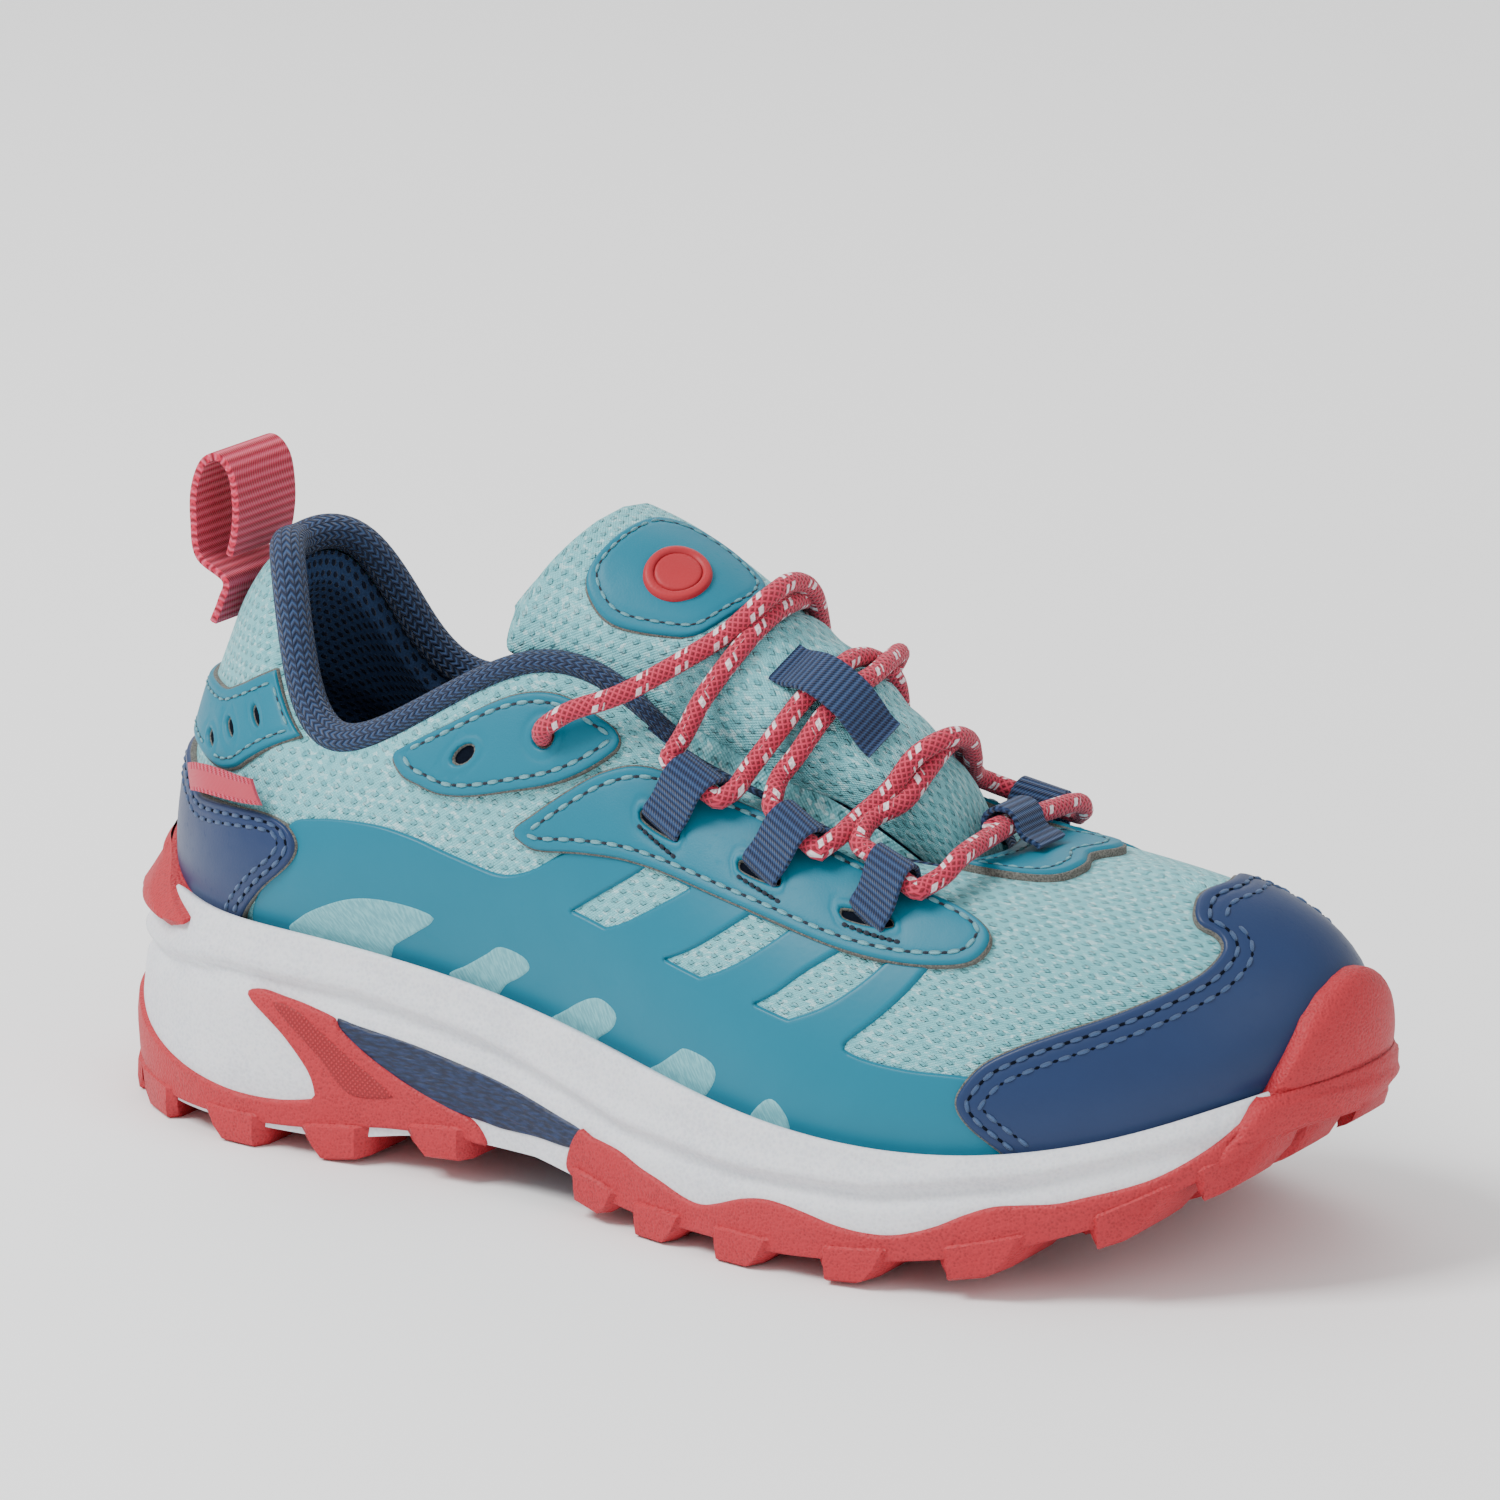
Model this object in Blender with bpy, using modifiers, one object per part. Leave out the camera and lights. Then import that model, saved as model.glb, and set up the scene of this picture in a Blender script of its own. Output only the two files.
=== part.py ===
"""A low-cut hiking shoe for a child's right foot, built as the pieces that a shoemaker would cut.

The shape is drawn in millimetres: x runs from the heel to the toe, z is up, and the outer side of
the foot is at -y. The upper is one surface with two coordinates. u runs round the shoe: 0 at the
back of the heel, 100 at the tip of the toe along the outer side, and on to 200 along the inner
side. v climbs from 0 at the feather edge, where the upper meets the sole, to 100 at the topline
and the throat. Sewn pieces are outlines in (u, v) that lie on that surface, at a stated height.
"""
import math

import bpy
import bmesh
import numpy as np
from mathutils.geometry import delaunay_2d_cdt

MM = 0.001
ORIGIN = np.array([117.2, -0.43, 0.0])

# Half of the upper, from the heel to the toe: (x, half breadth, z) of the curves that shape each rib.
STATIONS = [0, 8, 15, 24, 36, 50, 62, 74, 85, 93, 100]
FEATHER = [(6, 0, 35), (13, 16.5, 35.5), (28, 26.5, 35.5), (50, 29.5, 35), (84, 29.5, 31), (120, 34, 25),
           (150, 39.5, 21), (181, 39.5, 19.5), (208, 30, 23.5), (223, 17, 29), (229, 0, 30)]
LOW = [(1, 0, 50), (9, 18.5, 50), (25, 31.5, 49), (48, 37, 48), (85, 37, 46), (122, 41, 40),
       (153, 46, 34), (187, 46, 34), (219, 34, 42), (237, 19, 49), (243, 0, 55)]
HIGH = [(8, 0, 78), (17, 14.5, 76), (33, 27.5, 66), (53, 34, 60), (90, 32, 74), (118, 30, 70),
        (138, 30, 66), (164, 30, 63), (192, 25, 66), (209.5, 13, 69.5), (217, 0, 71.8)]
TOPLINE = [(22, 0, 98), (28, 12.5, 96), (37, 21.5, 79.5), (54, 27, 71.5), (88, 24.2, 89.5), (116, 20, 81),
           (135, 17.8, 73.5), (151, 16, 67.5), (162, 12.5, 64.5), (167, 7, 63), (168.5, 0, 62.8)]

# How far each layer lies from the upper's surface.
CLOTH_OUT, CLOTH_IN = -0.4, -1.6
LINING_OUT, LINING_THICK = -1.95, 0.8
FILM_LOW, FILM_THICK = 0.25, 0.45
OVERLAY_LOW, OVERLAY_THICK = 1.3, 0.7
COLLAR_PAD, STIFFENER_PAD = 4.2, 1.6
WEBBING_THICK, WEBBING_WIDTH = 0.8, 8.6
LACE_RADIUS = 1.75

# Heights along the sole: (x, z).
SPLIT = [(-6, 6), (48, 9), (58, 23), (70, 22), (80, 20.5), (90, 18.5), (100, 16), (110, 13.2), (120, 11),
         (130, 10), (140, 10), (150, 11.5), (170, 11.2), (180, 12.4), (190, 15.5), (200, 17.5),
         (210, 20.5), (220, 24.5), (232, 27)]
GROUND = [(-6, 12), (-1, 5), (8, 0), (56, 0), (70, 2.7), (80, 4.4), (100, 4.4), (110, 2.7), (122, 0),
          (155, 0), (170, 1), (180, 2.5), (190, 4.1), (200, 7.4), (210, 11), (220, 17.5), (232, 24)]
LUG_DEPTH = 4.5
LUG_SLOPE = 1.3  # how far each end of a lug spreads, from its tip to its root
# Where the lugs begin and end along the sole: those along its edges and middle, then the rows between them.
HEEL_LUGS = [[(-20, 9.5), (14, 22.5), (33.5, 42.6), (53.5, 63.4), (75, 90)],
             [(-20, 9.5), (24, 32), (44.2, 52), (65, 73.5), (86.5, 90)]]
FOREFOOT_LUGS = [[(90, 116.5), (123.3, 132), (141.4, 150.6), (162.7, 172), (183.4, 193.4), (206, 216)],
                 [(90, 122.5), (133.8, 139.8), (152.4, 160.9), (173.8, 181.6), (195.2, 204.2)]]

# The tongue, from its base under the vamp to its top: (position, x, half breadth, z).
TONGUE_EDGE = [(0, 182, 7, 47), (0.1, 171.5, 7.2, 52), (0.2, 162, 7.9, 58), (0.3, 151, 10.4, 64.5),
               (0.45, 134, 13, 71.5), (0.65, 111, 16, 80.5), (0.85, 91, 18.5, 88), (1, 78, 19, 92)]
TONGUE_CROWN = [(0, 182, 0, 51), (0.1, 170, 0, 56), (0.2, 163, 0, 67), (0.3, 155, 0, 77),
                (0.45, 140, 0, 88), (0.65, 119, 0, 99.5), (0.85, 102, 0, 107.5), (1, 91, 0, 110.5)]
TONGUE_THICK = 3.4

COLOURS = {
    "aqua": (0.36, 0.72, 0.75, 1), "teal": (0.0, 0.36, 0.5, 1), "navy": (0.03, 0.07, 0.19, 1),
    "coral": (0.62, 0.07, 0.08, 1), "white": (0.7, 0.72, 0.75, 1), "pink": (0.6, 0.05, 0.13, 1),
    "grey": (0.25, 0.25, 0.23, 1)}
ROUGHNESS = {"aqua": 0.85, "teal": 0.4, "navy": 0.55, "coral": 0.6, "white": 0.6, "pink": 0.8, "grey": 0.8}


# ---------------------------------------------------------------- curves and the upper's surface

def closed(half):
    """A half outline and its mirror image, as one closed run of points."""
    half = np.array(half, float)
    return np.vstack([half, half[-2:0:-1] * [1, -1, 1]])


def periodic_spline(keys, values, u, period=200.0):
    """A smooth closed cubic spline through values at the keys, read at u."""
    count = len(keys)
    gaps = np.diff(np.append(keys, keys[0] + period))
    matrix = np.zeros((count, count))
    right = np.zeros((count, values.shape[1]))
    for i in range(count):
        before, after, j = gaps[i - 1], gaps[i], (i + 1) % count
        matrix[i, i - 1] += before
        matrix[i, i] += 2 * (before + after)
        matrix[i, j] += after
        right[i] = 6 * ((values[j] - values[i]) / after - (values[i] - values[i - 1]) / before)
    bend = np.linalg.solve(matrix, right)
    u = np.mod(u, period)
    i = np.searchsorted(keys, u, side="right") - 1
    j = (i + 1) % count
    gap = gaps[i][..., None]
    x = (u - keys[i])[..., None]
    y = gap - x
    curve = (bend[i] * y ** 3 + bend[j] * x ** 3) / (6 * gap)
    return curve + (values[i] / gap - bend[i] * gap / 6) * y + (values[j] / gap - bend[j] * gap / 6) * x


HALF_KEYS = np.array(STATIONS, float)
KEYS = np.concatenate([HALF_KEYS, 200 - HALF_KEYS[-2:0:-1]])
CURVES = [closed(half) for half in (FEATHER, LOW, HIGH, TOPLINE)]


def right_foot(points):
    """Turns the symmetric drawing into a right shoe: outer side at -y, and the toe bent inwards."""
    points = np.array(points, float)
    x = points[..., 0]
    bend = 7 * np.clip((x - 150) / 85, 0, 1) ** 1.5 - 2 * np.exp(-((x - 140) / 35) ** 2)
    points[..., 1] = bend - points[..., 1]
    return points


def upper(u, v):
    """Points on the upper's surface."""
    u = np.asarray(u, float)
    t = np.asarray(v, float)[..., None] / 100
    feather, low, high, top = (periodic_spline(KEYS, curve, u) for curve in CURVES)
    rib = (1 - t) ** 3 * feather + 3 * (1 - t) ** 2 * t * low + 3 * (1 - t) * t * t * high + t ** 3 * top
    return right_foot(rib)


def interpolated(table, s):
    """Rows of (position, x, y, z), joined by a smooth curve."""
    table = np.array(table, float)
    keys, values = table[:, 0], table[:, 1:]
    slopes = np.gradient(values, keys, axis=0)
    s = np.clip(np.asarray(s, float), keys[0], keys[-1])
    i = np.clip(np.searchsorted(keys, s, side="right") - 1, 0, len(keys) - 2)
    gap = (keys[i + 1] - keys[i])[..., None]
    t = (s - keys[i])[..., None] / gap
    start = (1 + 2 * t) * (1 - t) ** 2 * values[i] + t * (1 - t) ** 2 * gap * slopes[i]
    return start + t * t * (3 - 2 * t) * values[i + 1] + t * t * (t - 1) * gap * slopes[i + 1]


def tongue(s, across):
    """Points on the tongue's underside: s from its base to its top, across from -1 (inner side) to 1."""
    edge = interpolated(TONGUE_EDGE, s)
    crown = interpolated(TONGUE_CROWN, s)
    angle = np.asarray(across, float)[..., None] * math.pi / 2
    rise = np.abs(np.cos(angle)) ** 0.85
    points = edge + (crown - edge) * rise
    points[..., 1] = edge[..., 1] * np.sin(angle)[..., 0]
    return right_foot(points)


def offset(surface, a, b, height):
    """Points a height above a surface, along its normal."""
    a, b, height = np.broadcast_arrays(np.asarray(a, float), np.asarray(b, float), np.asarray(height, float))
    step_a, step_b = (0.05, 0.2) if surface is upper else (0.002, 0.004)
    along = surface(a + step_a, b) - surface(a - step_a, b)
    over = surface(a, b + step_b) - surface(a, b - step_b)
    normal = np.cross(along, over)
    normal /= np.maximum(np.linalg.norm(normal, axis=-1, keepdims=True), 1e-9)
    return surface(a, b) + normal * height[..., None]


def ease(x, start, end):
    t = np.clip((np.asarray(x, float) - start) / (end - start), 0, 1)
    return t * t * (3 - 2 * t)


def from_heel(u):
    """The distance round the shoe from the back of the heel, 0 to 100."""
    u = np.mod(np.asarray(u, float), 200)
    return np.minimum(u, 200 - u)


def padding(u, v):
    """How much further in the lining lies, over the collar's foam and over the two stiffeners."""
    w = from_heel(u)
    collar = COLLAR_PAD * (1 - ease(w, 20, 34)) * ease(v, 52, 68)
    heel = STIFFENER_PAD * (1 - ease(w, 24, 30)) * (1 - ease(v, 50, 66))
    toe = STIFFENER_PAD * ease(w, 72, 80) * (1 - ease(v, 46, 60))
    return collar + heel + toe


# ---------------------------------------------------------------- turning points into objects

def clear_scene():
    for obj in list(bpy.data.objects):
        bpy.data.objects.remove(obj, do_unlink=True)


def material(name):
    made = bpy.data.materials.get(name)
    if made is None:
        made = bpy.data.materials.new(name)
        made.use_nodes = True
        shader = made.node_tree.nodes["Principled BSDF"]
        shader.inputs["Base Color"].default_value = COLOURS[name]
        shader.inputs["Roughness"].default_value = ROUGHNESS[name]
        made.diffuse_color = COLOURS[name]
    return made


def place(obj, colour, pivot=None):
    """Puts the object in the shoe's collection, with its origin at the pivot of its joint."""
    obj.data.materials.append(material(colour))
    SHOE.objects.link(obj)
    if pivot is not None:
        centre = (np.array(pivot) - ORIGIN) * MM
        for vertex in obj.data.vertices:
            vertex.co = np.array(vertex.co) - centre
        obj.location = centre
    return obj


def mesh_object(name, points, faces, colour, pivot=None):
    """A mesh object from points in the drawing's millimetres."""
    mesh = bpy.data.meshes.new(name)
    mesh.from_pydata([tuple(p) for p in (np.asarray(points) - ORIGIN) * MM], [], faces)
    work = bmesh.new()
    work.from_mesh(mesh)
    bmesh.ops.remove_doubles(work, verts=work.verts, dist=1e-6)
    bmesh.ops.triangulate(work, faces=work.faces)
    work.to_mesh(mesh)
    work.free()
    mesh.shade_smooth()
    mesh.set_sharp_from_angle(angle=math.radians(40))
    return place(bpy.data.objects.new(name, mesh), colour, pivot)


def thicken(obj, thickness, side):
    """Gives a sheet its thickness: side 1 grows it along its normals, and -1 against them."""
    solid = obj.modifiers.new("thickness", "SOLIDIFY")
    solid.thickness = thickness * MM
    solid.offset = side
    return obj


def helper(obj):
    """Hides a shape that only cuts or joins another."""
    obj.hide_render = True
    obj.display_type = "WIRE"
    SHOE.objects.unlink(obj)
    HELPERS.objects.link(obj)
    return obj


def grid_faces(rows, columns, closed_rows=False):
    faces = []
    for i in range(rows if closed_rows else rows - 1):
        for j in range(columns - 1):
            a, b = i * columns + j, (i + 1) % rows * columns + j
            faces.append((a, b, b + 1, a + 1))
    return faces


def loft(name, sections, colour, caps=True, pivot=None):
    """A solid through closed sections that all have the same number of points."""
    sections = np.asarray(sections)
    rows, columns = sections.shape[:2]
    faces = []
    for i in range(rows - 1):
        for j in range(columns):
            a, b, k = i * columns, (i + 1) * columns, (j + 1) % columns
            faces.append((a + j, a + k, b + k, b + j))
    if caps:
        faces.append(tuple(range(columns - 1, -1, -1)))
        faces.append(tuple(range((rows - 1) * columns, rows * columns)))
    obj = mesh_object(name, sections.reshape(-1, 3), faces, colour, pivot)
    face_outwards(obj)
    return obj


def face_outwards(obj):
    work = bmesh.new()
    work.from_mesh(obj.data)
    bmesh.ops.dissolve_degenerate(work, dist=1e-7, edges=work.edges)
    bmesh.ops.recalc_face_normals(work, faces=work.faces)
    if work.calc_volume(signed=True) < 0:
        bmesh.ops.reverse_faces(work, faces=work.faces)
    work.to_mesh(obj.data)
    work.free()


def smooth_outline(corners, step, size):
    """A closed Catmull-Rom curve in a surface's coordinates; a point given twice is a sharp corner."""
    p = np.array(corners, float)
    out = []
    for i in range(len(p)):
        before, start, end, after = p[i - 1], p[i], p[(i + 1) % len(p)], p[(i + 2) % len(p)]
        length = np.hypot(*((end - start) * size))
        if length < 1e-6:
            continue
        t = np.linspace(0, 1, max(1, round(length / step)), endpoint=False)[:, None]
        out.append(0.5 * (2 * start + (end - before) * t + (2 * before - 5 * start + 4 * end - after) * t ** 2
                          + (3 * start - before - 3 * end + after) * t ** 3))
    return np.vstack(out)


def mirrored(outline):
    return [(200 - u, v) for u, v in reversed(outline)]


# Roughly how many millimetres one step of each surface's two coordinates is.
SIZES = {upper: np.array([2.9, 0.7]), tongue: np.array([110.0, 28.0])}


def inside(points, loop):
    x, y = points[:, 0][:, None], points[:, 1][:, None]
    x0, y0 = loop[:, 0][None], loop[:, 1][None]
    x1, y1 = np.roll(loop[:, 0], -1)[None], np.roll(loop[:, 1], -1)[None]
    crosses = (y0 > y) != (y1 > y)
    slope = (x1 - x0) / np.where(y1 == y0, 1, y1 - y0)
    return (crosses & (x < x0 + (y - y0) * slope)).sum(axis=1) % 2 == 1


def patch(outline, size, holes=(), step=5.0, pitch=6.0):
    """Triangles over an outline on a surface, less its holes: (points in its coordinates, faces)."""
    loops = [smooth_outline(outline, step, size) * size]
    loops += [smooth_outline(hole, min(step, 3.0), size) * size for hole in holes]
    points, edges = [], []
    for loop in loops:
        first = sum(len(part) for part in points)
        points.append(loop)
        edges += [(first + i, first + (i + 1) % len(loop)) for i in range(len(loop))]
    rim = np.vstack(points)
    low, high = rim.min(axis=0), rim.max(axis=0)
    xs, ys = np.arange(low[0], high[0], pitch), np.arange(low[1], high[1], pitch)
    mesh = np.stack(np.meshgrid(xs, ys), -1).reshape(-1, 2)
    keep = inside(mesh, loops[0])
    for loop in loops[1:]:
        keep &= ~inside(mesh, loop)
    mesh = mesh[keep]
    clear = np.linalg.norm(mesh[:, None] - rim[None], axis=-1).min(axis=1) > 0.6 * pitch
    everything = np.vstack([rim, mesh[clear]])
    flat, _, faces, _, _, _ = delaunay_2d_cdt([tuple(p) for p in everything], edges, [], 0, 1e-5)
    flat = np.array([tuple(p) for p in flat])
    faces = np.array(faces)
    middle = flat[faces].mean(axis=1)
    good = inside(middle, loops[0])
    for loop in loops[1:]:
        good &= ~inside(middle, loop)
    a, b, c = (flat[faces[:, k]] for k in range(3))
    turn = (b[:, 0] - a[:, 0]) * (c[:, 1] - a[:, 1]) - (b[:, 1] - a[:, 1]) * (c[:, 0] - a[:, 0])
    faces = [tuple(int(k) for k in (f if t > 0 else f[::-1])) for f, t in zip(faces[good], turn[good])]
    return flat / size, faces


def sewn(name, outline, colour, low, thickness, holes=(), pitch=6.0, step=5.0, surface=upper, pivot=None):
    """A flat piece sewn on the upper or on the tongue."""
    uv, faces = patch(outline, SIZES[surface], holes, step, pitch)
    obj = mesh_object(name, offset(surface, uv[:, 0], uv[:, 1], low), faces, colour, pivot)
    return thicken(obj, thickness, 1)


def strap(name, centres, sideways, width, thickness, colour, pivot=None):
    """A webbing strap along its centre points, as wide as stated along sideways."""
    centres, sideways = np.asarray(centres, float), np.asarray(sideways, float)
    if sideways.ndim == 1:
        sideways = np.broadcast_to(sideways, centres.shape)
    tangent = np.gradient(centres, axis=0)
    normal = np.cross(sideways, tangent)
    normal /= np.linalg.norm(normal, axis=1, keepdims=True)
    half, rise = sideways * width / 2, normal * thickness / 2
    sections = np.stack([centres - half - rise, centres + half - rise,
                         centres + half + rise, centres - half + rise], axis=1)
    return loft(name, sections, colour, pivot=pivot)


def spline_path(points, count):
    """An even run of points along a smooth open curve."""
    points = np.array(points, float)
    ends = np.vstack([2 * points[0] - points[1], points, 2 * points[-1] - points[-2]])
    dense = []
    for i in range(1, len(ends) - 2):
        a, b, c, d = ends[i - 1:i + 3]
        t = np.linspace(0, 1, 24, endpoint=False)[:, None]
        dense.append(0.5 * (2 * b + (c - a) * t + (2 * a - 5 * b + 4 * c - d) * t ** 2
                            + (3 * b - a - 3 * c + d) * t ** 3))
    dense = np.vstack(dense + [points[-1:]])
    length = np.concatenate([[0], np.cumsum(np.linalg.norm(np.diff(dense, axis=0), axis=1))])
    even = np.linspace(0, length[-1], count)
    return np.stack([np.interp(even, length, dense[:, k]) for k in range(3)], axis=-1)


def cord(name, path, radius, colour, resolution=2):
    """A round cord as a curve with a bevel and filled caps."""
    curve = bpy.data.curves.new(name, "CURVE")
    curve.dimensions = "3D"
    curve.bevel_depth = radius * MM
    curve.bevel_resolution = resolution
    curve.use_fill_caps = True
    line = curve.splines.new("POLY")
    line.points.add(len(path) - 1)
    for point, place_mm in zip(line.points, path):
        point.co = (*((place_mm - ORIGIN) * MM), 1)
    obj = bpy.data.objects.new(name, curve)
    return place(obj, colour)


# ---------------------------------------------------------------- the sole

def level(table, x):
    table = np.array(table, float)
    return np.interp(x, table[:, 0], table[:, 1])


def plan(u, out, z):
    """A point beside the feather edge: out millimetres outwards, at height z."""
    edge = upper(u, np.zeros_like(u))
    along = upper(u + 0.1, np.zeros_like(u)) - upper(u - 0.1, np.zeros_like(u))
    outward = np.stack([along[:, 1], -along[:, 0]], axis=-1)
    outward /= np.linalg.norm(outward, axis=1, keepdims=True)
    point = edge.copy()
    point[:, :2] += outward * np.asarray(out)[..., None]
    point[:, 2] = z
    return point


def bulge(u, v):
    """How far the upper's surface stands out from the feather edge at this height of its rib."""
    edge, top = plan(u, 0 * u, 0), plan(u, 0 * u + 1, 0)
    return ((upper(u, 0 * u + v) - edge) * (top - edge))[:, :2].sum(axis=1)


LIP_V, LIP_GAP, LIP_THICK = 7.0, 2.5, 1.2


def lip_out(u):
    return bulge(u, LIP_V) + LIP_GAP + LIP_THICK


def flare(u):
    w = from_heel(u)
    return (2.2 + 2.6 * (1 - ease(w, 12, 34))) * (1 - ease(w, 90, 95))


def feather_z(u):
    return upper(u, 0 * u)[:, 2]


def both_sides(chain, stations, underside=None):
    """Closed sections across the sole: the outer side's chain, the underside, and the inner side's."""
    outer = np.stack(chain(stations), axis=1)
    inner = np.stack(chain(200 - stations), axis=1)[:, ::-1]
    parts = [outer] + ([underside(outer[:, -1], inner[:, 0])] if underside else []) + [inner]
    return np.concatenate(parts, axis=1)


def station_at(x):
    """The station on the outer side where the sole's edge reaches this x."""
    u = np.linspace(0, 100, 2001)
    edge = plan(u, lip_out(u), 0)[:, 0]
    return np.interp(x, np.maximum.accumulate(edge), u)


def midsole_chain(u):
    top = feather_z(u)
    x = plan(u, lip_out(u), 0)[:, 0]
    bottom = level(SPLIT, x)
    out = lip_out(u)
    wide = out + flare(u)
    lip_z = upper(u, 0 * u + LIP_V)[:, 2] + 0.6
    return [plan(u, 0 * u - 3.0, top - 1.9), plan(u, 0 * u + LIP_GAP, top - 1.9),
            plan(u, out - LIP_THICK, lip_z), plan(u, out, lip_z - 0.3),
            plan(u, out + 0.75 * flare(u), 0.6 * lip_z + 0.4 * bottom),
            plan(u, wide, 0.25 * lip_z + 0.75 * bottom), plan(u, wide - 0.6, bottom)]


def with_kinks(stations, kinks):
    """Adds the places where the sole's levels bend, so that its layers meet along the same lines."""
    extra = station_at(np.array(kinks, float))
    kept = stations[np.abs(stations[:, None] - extra[None]).min(axis=1) > 0.5]
    return np.sort(np.concatenate([kept, extra]))


KINKS = [48, 58, 62, 70]


def make_midsole():
    stations = np.concatenate([np.linspace(0, 20, 9), np.linspace(23, 92, 30), np.linspace(93.5, 100, 6)])
    stations = with_kinks(stations, KINKS)
    sections = both_sides(midsole_chain, stations)
    loft("midsole", sections, "white", caps=False)


ACROSS = np.array([-1, -0.66, -0.62, -0.3, -0.26, 0.26, 0.3, 0.62, 0.66, 1])


def lug_depth(x):
    return LUG_DEPTH * (1 - ease(x, 204, 218))


def grooves(x, lugs, first):
    """How far the tread is raised off the ground at x: 0 under a lug, and the lugs' depth between two."""
    away = np.min([np.maximum(start - x, x - end) for start, end in lugs], axis=0)
    depth = lug_depth(x) * np.clip(away / LUG_SLOPE, 0, 1)
    return np.where(x < first, 0.0, depth)


def tread(rows_of_lugs, first):
    """The underside between two edges, with its lugs in rows that are out of step."""
    def underside(outer, inner):
        share = (ACROSS[None, 1:-1, None] + 1) / 2
        rows = outer[:, None] * (1 - share) + inner[:, None] * share
        x = rows[..., 0]
        between = np.digitize(np.abs(ACROSS[1:-1]), [0.28, 0.64]) == 1
        depth = np.where(between[None], grooves(x, rows_of_lugs[1], first), grooves(x, rows_of_lugs[0], first))
        rows[..., 2] = level(GROUND, x) + depth
        return rows
    return underside


def lug_stations(rows_of_lugs, start, end):
    """Places along the sole at each lug's ends, and no more than 6 mm apart."""
    marks = {start + 0.5}
    for low, high in rows_of_lugs[0] + rows_of_lugs[1]:
        marks |= {low - LUG_SLOPE, low, high, high + LUG_SLOPE}
    marks = sorted(mark for mark in marks if start < mark < end)
    filled = []
    for mark, following in zip(marks, marks[1:] + [end]):
        steps = math.ceil((following - mark) / 6)
        filled += [mark + (following - mark) * k / steps for k in range(steps)]
    return np.array([mark for mark, after in zip(filled, filled[1:] + [end]) if after - mark > 0.25])


HEEL_FIRST, FOREFOOT_FIRST = 3.0, 107.0


def heel_top(x, split):
    """The heel rubber fills in under the midsole, then slopes down under the arch plate."""
    slope = 22.5 - (x - 62) * 0.55
    return np.where(x > 62, np.minimum(split, slope), split)


def heel_chain(u):
    x = plan(u, lip_out(u), 0)[:, 0]
    top = heel_top(x, level(SPLIT, x)) - 0.4
    wide = lip_out(u) + flare(u)
    ground = level(GROUND, x) + grooves(x, HEEL_LUGS[0], HEEL_FIRST)
    return [plan(u, wide - 0.6, top), plan(u, wide + 0.6, 0.5 * top + 0.5 * ground),
            plan(u, wide - 0.4, ground)]


def make_heel_outsole():
    xs = lug_stations(HEEL_LUGS, HEEL_FIRST, 86)
    stations = np.concatenate([np.linspace(0, station_at(xs[0]) - 0.4, 6), station_at(xs)])
    stations = with_kinks(stations, KINKS)
    sections = both_sides(heel_chain, stations, tread(HEEL_LUGS, HEEL_FIRST))
    loft("heel_outsole", sections, "coral", caps=True)


def arch_chain(u):
    x = plan(u, lip_out(u), 0)[:, 0]
    split = level(SPLIT, x) - 0.4
    low = np.where(x < 88, heel_top(x, level(SPLIT, x)) + 0.3, 7.6 + 0.1 * (x - 88))
    wide = lip_out(u) + flare(u) - 2.0
    return [plan(u, wide + 0.6, split), plan(u, wide, 0.5 * split + 0.5 * low), plan(u, wide - 1.5, low)]


def make_arch_plate():
    xs = np.linspace(64.5, 114, 13)
    loft("arch_plate", both_sides(arch_chain, station_at(xs)), "navy")


def forefoot_chain(u):
    x = plan(u, lip_out(u), 0)[:, 0]
    split = level(SPLIT, x) - 0.4
    split = np.where(x < 121, np.minimum(split, 8.4 + 0.06 * (x - 107) + 4 * ease(x, 115.5, 121)), split)
    wide = lip_out(u) + flare(u) + 1.6 * ease(from_heel(u), 91, 95)
    ground = level(GROUND, x) + grooves(x, FOREFOOT_LUGS[0], FOREFOOT_FIRST)
    return [plan(u, wide - 0.6, split), plan(u, wide + 0.6, 0.5 * split + 0.5 * ground),
            plan(u, wide - 0.4, ground)]


def make_forefoot_outsole():
    xs = lug_stations(FOREFOOT_LUGS, FOREFOOT_FIRST, 222)
    last = station_at(xs[-1])
    stations = np.concatenate([station_at(xs), np.linspace(last + 0.6, 99.7, 8)])
    sections = both_sides(forefoot_chain, stations, tread(FOREFOOT_LUGS, FOREFOOT_FIRST))
    loft("forefoot_outsole", sections, "coral")


BUMPER_V = 32.0


def make_toe_bumper():
    """The rubber that stands on the outsole's rim and protects the toe."""
    u = np.linspace(91.5, 108.5, 19)
    side = 1 - 0.62 * (np.abs(u - 100) / 8.5) ** 2.4
    x = plan(u, lip_out(u), 0)[:, 0]
    low = level(SPLIT, x) + 0.1
    lip_z = upper(u, 0 * u + LIP_V)[:, 2] + 1.2
    chain = [plan(u, lip_out(u) + flare(u) + 0.7, low), plan(u, lip_out(u) + 0.6, lip_z)]
    for v, out in ((15, 2.9), (0.55 * BUMPER_V, 2.7), (BUMPER_V, 2.7), (BUMPER_V, 4.6), (0.55 * BUMPER_V, 5.6), (10, 5.6)):
        v = 8 + (v - 8) * side
        rib = upper(u, v)
        out = out if out < 3 else 3.0 + (out - 3.0) * side
        chain.append(plan(u, bulge(u, v) + out, np.maximum(rib[:, 2], low + 1)))
    chain.append(plan(u, lip_out(u) + flare(u) + 2.7, low))
    loft("toe_bumper", np.stack(chain, axis=1), "coral")


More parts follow.
